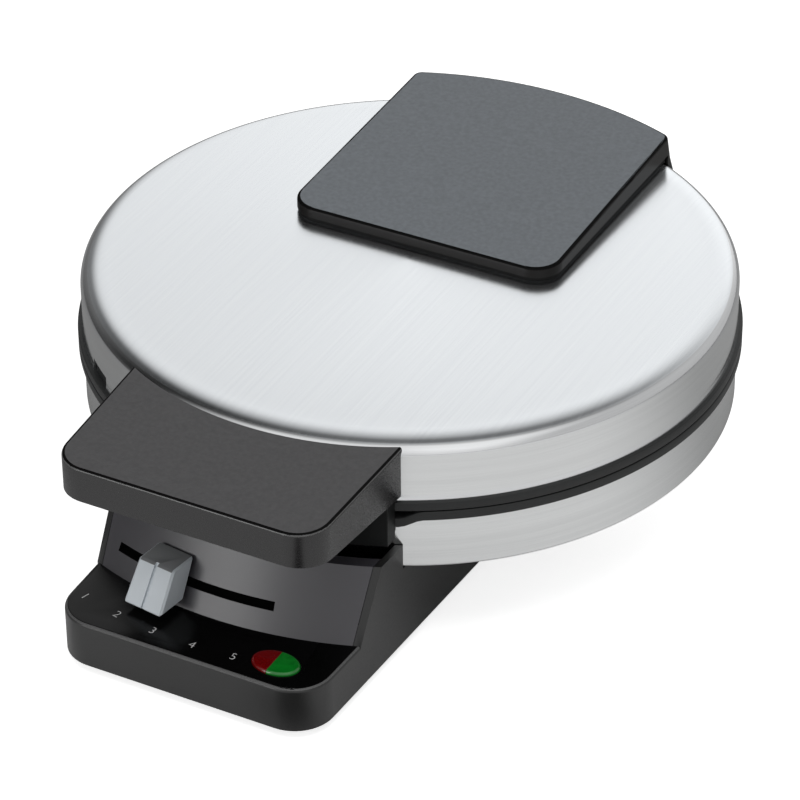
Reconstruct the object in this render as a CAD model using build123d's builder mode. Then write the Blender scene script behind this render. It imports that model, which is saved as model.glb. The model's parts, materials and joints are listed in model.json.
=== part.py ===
from build123d import *
import math
import os

# Round countertop waffle maker, in millimetres, +Z up.
# The origin lies on the table under the middle of the overall length.
# The handle points to -Y and the hinge to +Y.

# Radius of the steel shells, and the housing's reach from their axis
shell_radius = 96.9
front_reach = shell_radius + 40.5
rear_reach = shell_radius + 13.1

# Heights above the underside of the housing
foot_height = 3.0
ledge_height = 14.3
deck_height = 26.0
flank_height = 34.1
parting_height = 46.35
lid_rise = 21.6

# General clearances and walls
wall = 2.4
sheet = 0.8
seam = 0.15
slip = 0.3
pin_fit = 0.05

# Steel shells and their trim rings
ring_radius = shell_radius + 1.5
ring_height = 3.0
ring_gap = 0.3
ring_edge = 0.5
ring_skirt = 4.2
skirt_wall = 1.9
lid_round = 3.8
lid_crown = 0.5
pan_round = 1.5
dip_drop = 2.2
dip_half_angle = 26.0
dip_ramp_angle = 4.0
notch_angle = -129.7
notch_half_angle = 3.2
notch_height = 4.2
tab_inset = 0.7

# Console and chassis
console_half_width = 41.9
chassis_half_width = 46.0
chassis_widest_y = -18.0
chassis_taper_y = 40.0
tower_half_width = 43.4
console_corner = 12.0
tower_corner = 6.0
tower_drop = 9.0
fascia_foot_radius = shell_radius + 21.4
fascia_head_radius = shell_radius + 10.8
fascia_thickness = 3.8
flank_wall = 2.0
edge_round = 1.2
cord_recess_width = 30.0
cord_recess_height = 24.0
cord_recess_depth = 8.5
cup_flange = 1.8
cup_flange_height = 26.0
boss_radius = 4.0
screw_depth = 9.0

# Browning control
slot_start = -108.2
slot_end = -81.4
slot_middle_height = 21.2
slot_width = 2.4
knob_angle = -98.1
knob_gap = 2.4
knob_height = 11.6
knob_front_foot = fascia_foot_radius + 9.9
knob_front_head = fascia_head_radius + 13.0
knob_foot_width = 13.3
knob_head_width = 12.4
knob_groove_width = 1.0
knob_groove_depth = 0.8
knob_edge = 0.6
knob_clearance = 0.6
lever_thickness = 1.2
lever_width = 8.0
lever_tip_width = 4.0
lever_neck = shell_radius + 7.1
lever_reach = fascia_foot_radius + 4.3
lever_gap = 1.7
lever_swing = 2.6
shaft_radius = 3.0
shaft_head_radius = 4.4
shaft_head_height = 1.0
hub_radius = 7.0
hub_height = 3.0

# Indicator lens and lamps
lens_x = 25.8
lens_reach = front_reach - 9.4
lens_half_length = 7.2
lens_half_width = 5.0
lens_split_x = 25.3
lens_proud = 1.0
lens_flange = 1.0
lamp_radius = 2.3
lamp_height = 4.0
lamp_spread = 7.0
board_length = 32.0
board_width = 14.0
board_thickness = 1.6
board_shift_x = -4.0
board_shift_y = 2.0
board_post_spread = 24.0
board_post_shift = 4.0
board_post_radius = 2.2

# Grid plates
plate_radius = shell_radius - 5.4
flange_width = 3.0
flange_thickness = 1.6
rim_draft = 1.2
grid_radius = plate_radius - 7.5
grid_pitch = 13.5
ridge_width = 2.6
ridge_recess = 2.2
pocket_depth = 5.0
pocket_draft = 12.0
plate_floor = 2.5
divider_width = 5.0
divider_rise = 1.2
body_draft = 1.8
post_radius = 4.5
lower_post_circle = 40.0
upper_post_spread = 90.0

# Heating elements, reflectors, thermostat and fuse
element_circle = plate_radius - 29.5
element_radius = 3.2
element_half_gap = 24.0
cold_pin_length = 14.0
channel_wall = 2.6
channel_height = 2.0
reflector_sheet = 0.6
reflector_flat = plate_radius - 13.5
reflector_radius = plate_radius - 4.5
reflector_rise = 3.4
reflector_gap = 0.4
thermostat_radius = 12.0
thermostat_bore = 6.0
fuse_radius = 2.0
fuse_length = 14.0
fuse_spot = -40.0
saddle_size = 6.0
terminal_length = 26.0
terminal_width = 12.0
terminal_height = 10.0
terminal_reach = rear_reach - 34.0

# Lid strap and handle
strap_width = 20.0
strap_sheet = 1.5
strap_tab = 10.0
side_screw_spread = 12.0
side_screw_drop = 9.0
handle_front = front_reach - 4.0
handle_front_half = 41.4
handle_rear_half = 43.4
handle_rear_reach = shell_radius - 12.9
handle_corner = 10.0
handle_front_height = 64.5
handle_rear_height = 66.7
handle_front_under = 53.6
handle_rear_under = 50.7
handle_wall = 2.6
handle_boss_width = 24.0
handle_boss_reach = shell_radius + 13.1
handle_screw_reach = shell_radius + 9.1
underside_sheet = 1.8
handle_edge = 1.0
skirt_reach = ring_radius + 4.4
skirt_foot_height = 37.5
skirt_half_width = 42.5

# Hinge
pin_radius = 2.0
knuckle_radius = 4.6
knuckle_gap = 0.4
centre_knuckle = 27.8
arm_width = 11.8
outer_knuckle = 10.6
side_play = 0.3
bracket_sheet = 1.8
bracket_half_angle = 15.5
bracket_foot = 4.2
bracket_height = 13.0
arm_rise = 6.5
pin_head_radius = 3.0
pin_head_width = 0.8

# Hinge cover
cover_front_y = 4.0
cover_front_half = 43.7
cover_rear_half = 43.6
cover_front_corner = 8.5
cover_rear_corner = 3.0
cover_front_height = 72.3
cover_rear_height = 75.6
cover_height_y = shell_radius - 10.7
cover_edge = 1.0
cover_swing = 9.3
cover_foot = 5.7
cover_pad_y = shell_radius - 10.9
cover_screw_spread = 40.0
cover_screw_y = 40.0
cover_screw_reach = 4.0
pad_height = 1.1
pad_inset = 0.5

# Rear of the hinge cover: height, y at the corners and y in the middle
cover_rear_lines = [
    (51.0, shell_radius - 3.9, shell_radius + 13.1),
    (59.0, shell_radius - 4.9, shell_radius + 12.1),
    (67.0, shell_radius - 8.0, shell_radius + 2.1),
    (77.0, shell_radius - 10.7, shell_radius - 2.5),
]

# Fasteners, feet and cord outlet
screw_radius = 1.6
screw_head_radius = 3.2
screw_head_height = 1.8
foot_radius = 6.5
foot_inset = 11.0
front_foot_inset = 24.0
cover_sheet = 2.0
vent_length = 24.0
vent_width = 2.4
vent_pitch_x = 30.0
vent_pitch_y = 9.0
cord_radius = 3.6
bush_radius = 6.0
bush_flange_radius = 8.0
bush_flange_height = 2.0
bush_length = 9.0

# Places and levels worked out from the sizes above
disc_y = (front_reach - rear_reach) / 2
front_y = disc_y - front_reach
rear_y = disc_y + rear_reach
floor_z = foot_height
ledge_z = floor_z + ledge_height
deck_z = floor_z + deck_height
flank_z = floor_z + flank_height
parting_z = floor_z + parting_height
lid_z = parting_z + lid_rise
ring_top_z = parting_z - ring_gap / 2
ring_foot_z = ring_top_z - ring_height
lid_foot_z = 2 * parting_z - ring_foot_z
tower_z = parting_z - tower_drop
ridge_z = ring_top_z - ridge_recess
pocket_floor_z = ridge_z - pocket_depth
plate_back_z = pocket_floor_z - plate_floor
element_z = plate_back_z - channel_height
pan_floor_z = deck_z + sheet
upper_back_z = 2 * parting_z - plate_back_z
upper_reflector_z = 2 * parting_z - element_z + element_radius + reflector_gap
strap_z = upper_reflector_z + reflector_sheet
lever_z = floor_z + slot_middle_height
body_radius = plate_radius - flange_width
liner_radius = shell_radius - sheet
riser_radius = shell_radius - 2 * slip
riser_inner = riser_radius - wall
hinge_y = disc_y + ring_radius + knuckle_gap + knuckle_radius
recess_back = rear_y - cord_recess_depth
side_screw_z = lid_z - side_screw_drop
lens_y = disc_y - lens_reach
board_top_z = ledge_z - wall - lens_flange - slip - lamp_height
arm_start = centre_knuckle / 2 + side_play
outer_start = arm_start + arm_width + side_play
hinge_half_length = outer_start + outer_knuckle
far = 4 * front_reach

disc_axis = Axis((0, disc_y, 0), (0, 0, 1))
parting_plane = Plane((0, disc_y, parting_z))


def level(z):
    """Horizontal plane at height z, centred on the axis of the plates."""
    return Plane((0, disc_y, z))


def radial(angle):
    """Upright plane through the plate axis, with x as radius and y as height."""
    a = math.radians(angle)
    return Plane((0, disc_y, 0), (math.cos(a), math.sin(a), 0), (math.sin(a), -math.cos(a), 0))


def side_plane(x=0.0):
    """Upright plane along the length at x, with local x as Y and local y as Z."""
    return Plane((x, 0, 0), (0, 1, 0), (1, 0, 0))


def outline(points, plane=Plane.XY):
    """Closed straight-sided sketch on a plane."""
    with BuildSketch(plane) as drawn:
        with BuildLine():
            Polyline(*points, close=True)
        make_face()
    return drawn.sketch


def turned(points, start=0, arc=360):
    """Solid of revolution of a radial section, from start over arc degrees."""
    with BuildPart() as solid:
        revolve(outline(points, radial(start)), axis=disc_axis, revolution_arc=arc)
    return solid.part


def ramp(first, first_angle, second, second_angle):
    """Short straight run between two sections on radial planes."""
    with BuildPart() as solid:
        loft([outline(first, radial(first_angle)), outline(second, radial(second_angle))], ruled=True)
    return solid.part


def prism(sketch, amount, both=False):
    """Straight extrusion of a sketch as a solid of its own."""
    with BuildPart() as solid:
        extrude(sketch, amount=amount, both=both)
    return solid.part


def save(piece, name):
    """Label a finished piece and write it to the parts folder."""
    piece.part.label = name
    export_step(piece.part, f"parts/{name}.step")


os.makedirs("parts", exist_ok=True)

# Front dip of the lower ring: angles where it is full, ramping and dropped
dip_outer = dip_half_angle + dip_ramp_angle
left_dip = (-90 - dip_outer, -90 - dip_half_angle)
right_dip = (-90 + dip_half_angle, -90 + dip_outer)


def dipped(full, low):
    """Ring whose section is full at the sides and rear and low at the front."""
    with BuildPart() as solid:
        add(turned(full, right_dip[1], 360 - 2 * dip_outer))
        add(turned(low, left_dip[1], 2 * dip_half_angle))
        add(ramp(full, left_dip[0], low, left_dip[1]))
        add(ramp(low, right_dip[0], full, right_dip[1]))
    return solid.part


def chassis_outline(inset=0.0):
    """Plan of the chassis, drawn in by inset on every side."""
    right = [
        (console_half_width, front_y),
        (chassis_half_width, disc_y + chassis_widest_y),
        (chassis_half_width, disc_y + chassis_taper_y),
        (tower_half_width, rear_y),
    ]
    left = [(-x, y) for x, y in reversed(right)]
    with BuildSketch() as drawn:
        with BuildLine():
            Polyline(*right, *left, close=True)
        make_face()
        fillet(drawn.vertices().group_by(Axis.Y)[0], console_corner)
        fillet(drawn.vertices().group_by(Axis.Y)[-1], tower_corner)
        if inset:
            offset(amount=-inset)
    return drawn.sketch


def chassis_block(inset, foot_z, head_z):
    """Chassis plan drawn in by inset, as a solid between two heights."""
    return prism(Plane.XY.offset(foot_z) * chassis_outline(inset), head_z - foot_z)


def lid_solid(inset, foot_z):
    """Filled shape of the lid, drawn in by inset, down to foot_z."""
    rim = shell_radius - inset
    edge_z = lid_z - lid_crown - inset
    shoulder = lid_round - inset
    crown_start = rim - shoulder
    with BuildPart() as solid:
        with BuildSketch(radial(0)):
            with BuildLine():
                Line((0, foot_z), (rim, foot_z))
                Line((rim, foot_z), (rim, edge_z - shoulder))
                CenterArc((crown_start, edge_z - shoulder), shoulder, 0, 90)
                ThreePointArc(
                    (crown_start, edge_z),
                    (crown_start / 2, edge_z + lid_crown * 0.75),
                    (0, edge_z + lid_crown),
                )
                Line((0, edge_z + lid_crown), (0, foot_z))
            make_face()
        revolve(axis=disc_axis)
    return solid.part


def lid_space(gap):
    """What the lid's steel and ring fill, grown by gap, for parts that hug it."""
    with BuildPart() as solid:
        add(lid_solid(-gap, ring_top_z))
        with BuildSketch(level(ring_top_z)):
            Circle(ring_radius + gap)
        extrude(amount=lid_foot_z + gap - ring_top_z)
    return solid.part


def fascia_radius(z):
    """Radius of the leaning front surface of the console at height z."""
    lean = (fascia_head_radius - fascia_foot_radius) / (flank_z - ledge_z)
    return fascia_foot_radius + lean * (z - ledge_z)


# Places shared by the housing, its bottom, its screws and its feet
front_boss_y = front_y + front_foot_inset
rear_boss_y = recess_back - foot_inset
front_bosses = [(s * (console_half_width - foot_inset), front_boss_y) for s in (-1, 1)]
rear_bosses = [(s * (tower_half_width - foot_inset), rear_boss_y) for s in (-1, 1)]
screw_spots = front_bosses + rear_bosses
plate_screw_spots = [
    (lower_post_circle * math.cos(math.radians(a)), lower_post_circle * math.sin(math.radians(a)))
    for a in (90, 210, 330)
]
cup_width = cord_recess_width + 2 * wall
cup_depth = cord_recess_depth + wall
board_x = lens_x + board_shift_x
board_y = lens_y + board_shift_y
board_posts = [
    (board_x - board_post_spread / 2, board_y),
    (board_x + board_post_spread / 2, board_y + board_post_shift),
]

# Base housing: ledge at the front, chassis under the plates, tower at the hinge
front_cutter = turned(
    [
        (shell_radius, flank_z),
        (fascia_head_radius, flank_z),
        (fascia_foot_radius, ledge_z),
        (fascia_foot_radius, 0),
        (far, 0),
        (far, lid_z),
        (shell_radius, lid_z),
    ],
    180,
    180,
)
tower_web = [
    (hinge_y - knuckle_radius, parting_z),
    (hinge_y + knuckle_radius, parting_z),
    (hinge_y + knuckle_radius, tower_z - wall),
    (hinge_y - knuckle_radius, tower_z - wall),
]


def knuckle(web, start, width):
    """Knuckle and web round the hinge pin, from x = start over width."""
    with BuildPart() as solid:
        with BuildSketch(side_plane(start)):
            with Locations((hinge_y, parting_z)):
                Circle(knuckle_radius)
            with BuildLine():
                Polyline(*web, close=True)
            make_face()
            with Locations((hinge_y, parting_z)):
                Circle(pin_radius + pin_fit, mode=Mode.SUBTRACT)
        extrude(amount=width)
    return solid.part


with BuildPart() as upper_block:
    add(chassis_block(0, floor_z, tower_z))
    add(front_cutter, mode=Mode.SUBTRACT)
    with BuildSketch(level(deck_z)):
        Circle(shell_radius + slip)
    extrude(amount=parting_height, mode=Mode.SUBTRACT)

with BuildPart() as base_housing:
    add(chassis_block(0, floor_z, ledge_z))
    fillet(base_housing.faces().sort_by(Axis.Z)[-1].edges(), edge_round)
    add(upper_block.part)
    # Open space behind the fascia
    with BuildSketch(Plane.XY.offset(ledge_z)):
        add(chassis_outline(flank_wall))
        with Locations((0, disc_y)):
            Circle(riser_radius, mode=Mode.SUBTRACT)
            Rectangle(far, far, align=(Align.CENTER, Align.MIN), mode=Mode.SUBTRACT)
    extrude(amount=parting_height, mode=Mode.SUBTRACT)
    # Hollow under the ledge
    with BuildSketch(Plane.XY.offset(floor_z)):
        add(chassis_outline(wall))
    extrude(amount=ledge_height - wall, mode=Mode.SUBTRACT)
    # Hollow under the deck, behind the riser
    with BuildSketch(Plane.XY.offset(floor_z)):
        with Locations((0, disc_y)):
            Circle(riser_inner)
            Rectangle(far, far, align=(Align.CENTER, Align.MIN))
        add(chassis_outline(wall), mode=Mode.INTERSECT)
    extrude(amount=deck_height - wall, mode=Mode.SUBTRACT)
    # Hollow in the hinge tower
    with BuildSketch(Plane.XY.offset(floor_z)):
        add(chassis_outline(wall))
        with Locations((0, disc_y)):
            Circle(shell_radius + slip + wall, mode=Mode.SUBTRACT)
            Rectangle(far, far, align=(Align.CENTER, Align.MAX), mode=Mode.SUBTRACT)
    extrude(amount=tower_z - floor_z - wall, mode=Mode.SUBTRACT)
    # Window for the cord cup in the rear wall
    with BuildSketch(Plane.XY.offset(floor_z)):
        with Locations((0, rear_y)):
            Rectangle(cup_width + 2 * seam, 2 * cup_depth)
    extrude(amount=cord_recess_height + wall + seam, mode=Mode.SUBTRACT)
    # Bosses for the bottom screws
    with BuildSketch(Plane.XY.offset(floor_z + cover_sheet)):
        with Locations(*front_bosses):
            Circle(boss_radius)
    extrude(amount=ledge_height - wall / 2 - cover_sheet)
    with BuildSketch(Plane.XY.offset(floor_z + cover_sheet)):
        with Locations(*rear_bosses):
            Circle(boss_radius)
    extrude(amount=deck_height - wall / 2 - cover_sheet)
    with BuildSketch(Plane.XY.offset(floor_z + cover_sheet)):
        with Locations(*screw_spots):
            Circle(screw_radius + pin_fit)
    extrude(amount=screw_depth, mode=Mode.SUBTRACT)
    # Posts that carry the lamp board
    with BuildSketch(Plane.XY.offset(board_top_z)):
        with Locations(*board_posts):
            Circle(board_post_radius)
    extrude(amount=ledge_z - wall / 2 - board_top_z)
    # Lens opening through the ledge
    with BuildSketch(Plane.XY.offset(ledge_z - wall)):
        with Locations((lens_x, lens_y)):
            Ellipse(lens_half_length + seam, lens_half_width + seam)
    extrude(amount=2 * wall, mode=Mode.SUBTRACT)
    # Control shaft hole and plate screw holes through the deck
    with BuildSketch(level(deck_z - 2 * wall)):
        Circle(shaft_head_radius + slip)
        with Locations(*plate_screw_spots):
            Circle(screw_radius + slip)
    extrude(amount=4 * wall, mode=Mode.SUBTRACT)
    # Way for the lever through the riser
    add(
        turned(
            [
                (riser_inner - wall, lever_z - lever_gap),
                (riser_radius + wall, lever_z - lever_gap),
                (riser_radius + wall, lever_z + lever_gap),
                (riser_inner - wall, lever_z + lever_gap),
            ],
            slot_start - lever_swing,
            slot_end - slot_start + 2 * lever_swing,
        ),
        mode=Mode.SUBTRACT,
    )
    # Knuckles round the hinge pin
    add(knuckle(tower_web, -centre_knuckle / 2, centre_knuckle))
    add(knuckle(tower_web, outer_start, outer_knuckle))
    add(knuckle(tower_web, -outer_start - outer_knuckle, outer_knuckle))
save(base_housing, "base_housing")

# Control fascia: leaning insert between the flanks, with the slider's slot
with BuildPart() as control_fascia:
    add(
        turned(
            [
                (fascia_foot_radius - fascia_thickness, ledge_z),
                (fascia_foot_radius, ledge_z),
                (fascia_head_radius, flank_z),
                (fascia_head_radius - fascia_thickness, flank_z),
            ],
            180,
            180,
        )
    )
    add(chassis_block(flank_wall + seam, floor_z, lid_z), mode=Mode.INTERSECT)
    add(
        turned(
            [
                (riser_radius, lever_z - slot_width / 2),
                (fascia_foot_radius + wall, lever_z - slot_width / 2),
                (fascia_foot_radius + wall, lever_z + slot_width / 2),
                (riser_radius, lever_z + slot_width / 2),
            ],
            slot_start,
            slot_end - slot_start,
        ),
        mode=Mode.SUBTRACT,
    )
save(control_fascia, "control_fascia")

# Bottom cover with its vents
with BuildPart() as bottom_cover:
    add(chassis_block(wall + slip, floor_z, floor_z + cover_sheet))
    with BuildSketch(Plane.XY.offset(floor_z)):
        with Locations((0, rear_y)):
            Rectangle(cup_width + 2 * slip, 2 * cup_depth + 2 * slip)
        with Locations(*screw_spots):
            Circle(screw_radius + slip)
        with Locations((0, disc_y)):
            with GridLocations(vent_pitch_x, vent_pitch_y, 2, 7):
                SlotOverall(vent_length, vent_width)
    extrude(amount=cover_sheet, mode=Mode.SUBTRACT)
save(bottom_cover, "bottom_cover")

# Rubber feet, each with a hole over its screw head
with BuildPart() as feet:
    with BuildSketch(Plane.XY):
        with Locations(*screw_spots):
            Circle(foot_radius)
            Circle(screw_head_radius + slip, mode=Mode.SUBTRACT)
    extrude(amount=foot_height)
save(feet, "feet")

# Bottom screws
with BuildPart() as bottom_screws:
    with BuildSketch(Plane.XY.offset(floor_z)):
        with Locations(*screw_spots):
            Circle(screw_head_radius)
    extrude(amount=-screw_head_height)
    with BuildSketch(Plane.XY.offset(floor_z)):
        with Locations(*screw_spots):
            Circle(screw_radius)
    extrude(amount=screw_depth)
save(bottom_screws, "bottom_screws")

# Cord cup: recessed cord outlet, clipped into the housing's rear wall from inside
with BuildPart() as cord_cup:
    with BuildSketch(Plane.XY.offset(floor_z)):
        with Locations((0, rear_y)):
            Rectangle(cup_width, cup_depth, align=(Align.CENTER, Align.MAX))
    extrude(amount=cord_recess_height + wall)
    with BuildSketch(Plane.XZ.offset(wall - rear_y)):
        with Locations((0, floor_z + cover_sheet + slip)):
            Rectangle(cup_width + 2 * cup_flange, cup_flange_height, align=(Align.CENTER, Align.MIN))
    extrude(amount=cup_flange)
    with BuildSketch(Plane.XY.offset(floor_z)):
        with Locations((0, rear_y)):
            Rectangle(cord_recess_width, 2 * cord_recess_depth)
    extrude(amount=cord_recess_height, mode=Mode.SUBTRACT)
    with BuildSketch(Plane.XZ.offset(-recess_back)):
        with Locations((0, floor_z + cord_recess_height / 2)):
            Circle(bush_radius)
    extrude(amount=2 * wall, both=True, mode=Mode.SUBTRACT)
save(cord_cup, "cord_cup")

# Cord outlet bush in the back of the cord cup
with BuildPart() as cord_bush:
    with BuildSketch(Plane.XZ.offset(-recess_back)):
        with Locations((0, floor_z + cord_recess_height / 2)):
            Circle(bush_flange_radius)
            Circle(cord_radius, mode=Mode.SUBTRACT)
    extrude(amount=-bush_flange_height)
    with BuildSketch(Plane.XZ.offset(-recess_back)):
        with Locations((0, floor_z + cord_recess_height / 2)):
            Circle(bush_radius - pin_fit)
            Circle(cord_radius, mode=Mode.SUBTRACT)
    extrude(amount=bush_length - bush_flange_height)
save(cord_bush, "cord_bush")

# Terminal block that the mains wires end in, standing on the bottom cover
with BuildPart() as terminal_block:
    with BuildSketch(Plane.XY.offset(floor_z + cover_sheet)):
        with Locations((0, disc_y + terminal_reach)):
            Rectangle(terminal_length, terminal_width)
    extrude(amount=terminal_height)
    with BuildSketch(Plane.XZ.offset(-disc_y - terminal_reach)):
        with Locations((0, floor_z + cover_sheet + terminal_height / 2)):
            with GridLocations(terminal_length / 3, 0, 3, 1):
                Circle(terminal_height / 5)
    extrude(amount=terminal_width, both=True, mode=Mode.SUBTRACT)
save(terminal_block, "terminal_block")

# Lower shell: spun steel pan with a dipped front edge
with BuildPart() as lower_shell:
    with BuildSketch(radial(0)):
        with BuildLine():
            Line((shaft_head_radius + slip, deck_z), (shell_radius - pan_round, deck_z))
            CenterArc((shell_radius - pan_round, deck_z + pan_round), pan_round, 270, 90)
            Line((shell_radius, deck_z + pan_round), (shell_radius, ring_foot_z))
            Line((shell_radius, ring_foot_z), (liner_radius, ring_foot_z))
            Line((liner_radius, ring_foot_z), (liner_radius, deck_z + pan_round))
            CenterArc((shell_radius - pan_round, deck_z + pan_round), pan_round - sheet, 0, -90)
            Line((shell_radius - pan_round, pan_floor_z), (shaft_head_radius + slip, pan_floor_z))
            Line((shaft_head_radius + slip, pan_floor_z), (shaft_head_radius + slip, deck_z))
        make_face()
    revolve(axis=disc_axis)
    edge_box = [
        (liner_radius - wall, ring_foot_z),
        (shell_radius + wall, ring_foot_z),
        (shell_radius + wall, parting_z),
        (liner_radius - wall, parting_z),
    ]
    low_box = [(r, z - dip_drop) if z < parting_z else (r, z) for r, z in edge_box]
    add(dipped(edge_box, low_box), mode=Mode.SUBTRACT)
    with BuildSketch(level(deck_z)):
        with Locations(*plate_screw_spots):
            Circle(screw_radius + slip)
    extrude(amount=sheet, mode=Mode.SUBTRACT)
save(lower_shell, "lower_shell")

# Section of a trim ring: outer band, seat for the plate's flange, skirt in the shell
flange_seat = plate_radius + slip
shelf_inner = body_radius + slip
skirt_outer = liner_radius - seam
ring_section = [
    (ring_radius - ring_edge, ring_foot_z),
    (ring_radius, ring_foot_z + ring_edge),
    (ring_radius, ring_top_z - ring_edge),
    (ring_radius - ring_edge, ring_top_z),
    (flange_seat, ring_top_z),
    (flange_seat, ring_top_z - flange_thickness),
    (shelf_inner, ring_top_z - flange_thickness),
    (shelf_inner, ring_foot_z),
    (skirt_outer - skirt_wall, ring_foot_z),
    (skirt_outer - skirt_wall, ring_foot_z - ring_skirt),
    (skirt_outer, ring_foot_z - ring_skirt),
    (skirt_outer, ring_foot_z),
]
with BuildPart() as lower_ring:
    add(dipped(ring_section, [(r, z - dip_drop) for r, z in ring_section]))
save(lower_ring, "lower_ring")

with BuildPart() as upper_ring:
    add(turned([(r, 2 * parting_z - z) for r, z in ring_section]))
    # Snap tab that shows in the notch of the lid
    add(
        turned(
            [
                (skirt_outer - skirt_wall, lid_foot_z),
                (shell_radius - tab_inset, lid_foot_z),
                (shell_radius - tab_inset, lid_foot_z + notch_height - tab_inset),
                (skirt_outer - skirt_wall, lid_foot_z + notch_height - tab_inset),
            ],
            notch_angle - notch_half_angle + slip,
            2 * notch_half_angle - 2 * slip,
        )
    )
save(upper_ring, "upper_ring")

def element_loop(radius):
    """Tube loop open at the rear, its ends turned in towards the middle."""
    with BuildPart() as solid:
        with BuildSketch(radial(90 + element_half_gap)):
            with Locations((element_circle, element_z)):
                Circle(radius)
        revolve(axis=disc_axis, revolution_arc=360 - 2 * element_half_gap)
        for side in (-1, 1):
            end_angle = math.radians(90 + side * element_half_gap)
            inward = (-math.cos(end_angle), -math.sin(end_angle), 0)
            end_plane = Plane(
                (-element_circle * inward[0], disc_y - element_circle * inward[1], element_z),
                x_dir=(0, 0, 1),
                z_dir=inward,
            )
            with BuildSketch(end_plane):
                Circle(radius)
            extrude(amount=cold_pin_length)
            with Locations(end_plane):
                Sphere(radius)
    return solid.part


# Grid plates: die-cast discs with tapered pockets in four quarters
first_pocket = divider_width / 2 + (grid_pitch - ridge_width) / 2
pocket_size = grid_pitch - ridge_width
pocket_steps = int(grid_radius // grid_pitch)
last_pocket_reach = grid_radius - pocket_size / 4
pocket_spots = [
    (first_pocket + i * grid_pitch, first_pocket + j * grid_pitch)
    for i in range(pocket_steps)
    for j in range(pocket_steps)
    if math.hypot(first_pocket + i * grid_pitch, first_pocket + j * grid_pitch) < last_pocket_reach
]
rim_radius = body_radius - rim_draft / 2
ridge_field = rim_radius - rim_draft
with BuildPart() as plate_blank:
    add(
        turned(
            [
                (0, plate_back_z),
                (body_radius - body_draft, plate_back_z),
                (body_radius, ring_top_z - flange_thickness),
                (plate_radius, ring_top_z - flange_thickness),
                (plate_radius, ring_top_z),
                (rim_radius, ring_top_z),
                (ridge_field, ridge_z),
                (0, ridge_z),
            ]
        )
    )
    # Dividers between the quarters
    with BuildSketch(level(ridge_z)):
        Rectangle(2 * ridge_field, divider_width)
        Rectangle(divider_width, 2 * ridge_field)
    extrude(amount=divider_rise, taper=pocket_draft)
    # Pockets
    with BuildSketch(level(ridge_z)):
        with PolarLocations(0, 4):
            with Locations(*pocket_spots):
                Rectangle(pocket_size, pocket_size)
        Circle(grid_radius, mode=Mode.INTERSECT)
    extrude(amount=-pocket_depth, taper=pocket_draft, mode=Mode.SUBTRACT)
    # Channel that the heating element is pressed in
    add(
        turned(
            [
                (element_circle - element_radius - channel_wall, element_z),
                (element_circle + element_radius + channel_wall, element_z),
                (element_circle + element_radius + channel_wall, plate_back_z),
                (element_circle - element_radius - channel_wall, plate_back_z),
            ]
        )
    )
    add(element_loop(element_radius + pin_fit), mode=Mode.SUBTRACT)

with BuildPart() as lower_grid_plate:
    add(plate_blank.part)
    with BuildSketch(level(plate_back_z)):
        with Locations(*plate_screw_spots):
            Circle(post_radius)
    extrude(amount=pan_floor_z - plate_back_z)
    with BuildSketch(level(pan_floor_z)):
        with Locations(*plate_screw_spots):
            Circle(screw_radius + pin_fit)
    extrude(amount=screw_depth, mode=Mode.SUBTRACT)
save(lower_grid_plate, "lower_grid_plate")

upper_post_spots = [(0, -upper_post_spread / 2), (0, upper_post_spread / 2)]
with BuildPart() as upper_grid_plate:
    mirror(plate_blank.part, about=parting_plane)
    with BuildSketch(level(upper_back_z)):
        with Locations(*upper_post_spots):
            Circle(post_radius)
    extrude(amount=upper_reflector_z - upper_back_z)
    with BuildSketch(level(upper_reflector_z)):
        with Locations(*upper_post_spots):
            Circle(screw_radius + pin_fit)
    extrude(amount=-screw_depth + plate_floor, mode=Mode.SUBTRACT)
save(upper_grid_plate, "upper_grid_plate")

# Heating elements: tube loops with their cold pins turned in towards the middle
with BuildPart() as lower_heating_element:
    add(element_loop(element_radius))
save(lower_heating_element, "lower_heating_element")

with BuildPart() as upper_heating_element:
    mirror(lower_heating_element.part, about=parting_plane)
save(upper_heating_element, "upper_heating_element")


def reflector_section(foot, thickness, rise):
    """Dished sheet: flat in the middle, rim turned up or down."""
    return [
        (0, foot),
        (reflector_flat, foot),
        (reflector_radius, foot + rise),
        (reflector_radius, foot + rise + thickness),
        (reflector_flat, foot + thickness),
        (0, foot + thickness),
    ]


# Reflectors between the elements and the steel
with BuildPart() as lower_reflector:
    add(turned(reflector_section(pan_floor_z, reflector_sheet, reflector_rise)))
    with BuildSketch(level(pan_floor_z)):
        Circle(thermostat_radius + slip)
        with Locations(*plate_screw_spots):
            Circle(post_radius + slip)
    extrude(amount=reflector_sheet, mode=Mode.SUBTRACT)
save(lower_reflector, "lower_reflector")

with BuildPart() as upper_reflector:
    add(turned(reflector_section(upper_reflector_z, reflector_sheet, -reflector_rise)))
    with BuildSketch(level(upper_reflector_z)):
        with Locations(*upper_post_spots):
            Circle(screw_radius + slip)
    extrude(amount=reflector_sheet, mode=Mode.SUBTRACT)
save(upper_reflector, "upper_reflector")

# Screws up through deck and pan into the lower plate's posts
deck_under_z = deck_z - wall
with BuildPart() as plate_screws:
    with BuildSketch(level(deck_under_z)):
        with Locations(*plate_screw_spots):
            Circle(screw_head_radius)
    extrude(amount=-screw_head_height)
    with BuildSketch(level(deck_under_z)):
        with Locations(*plate_screw_spots):
            Circle(screw_radius)
    extrude(amount=pan_floor_z + screw_depth - slip - deck_under_z)
save(plate_screws, "plate_screws")

# Thermostat between the pan floor and the plate's back
with BuildPart() as thermostat:
    with BuildSketch(level(pan_floor_z)):
        Circle(thermostat_radius)
    extrude(amount=plate_back_z - pan_floor_z)
    with BuildSketch(level(pan_floor_z)):
        Circle(shaft_radius + pin_fit)
    extrude(amount=thermostat_bore, mode=Mode.SUBTRACT)
save(thermostat, "thermostat")

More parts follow.
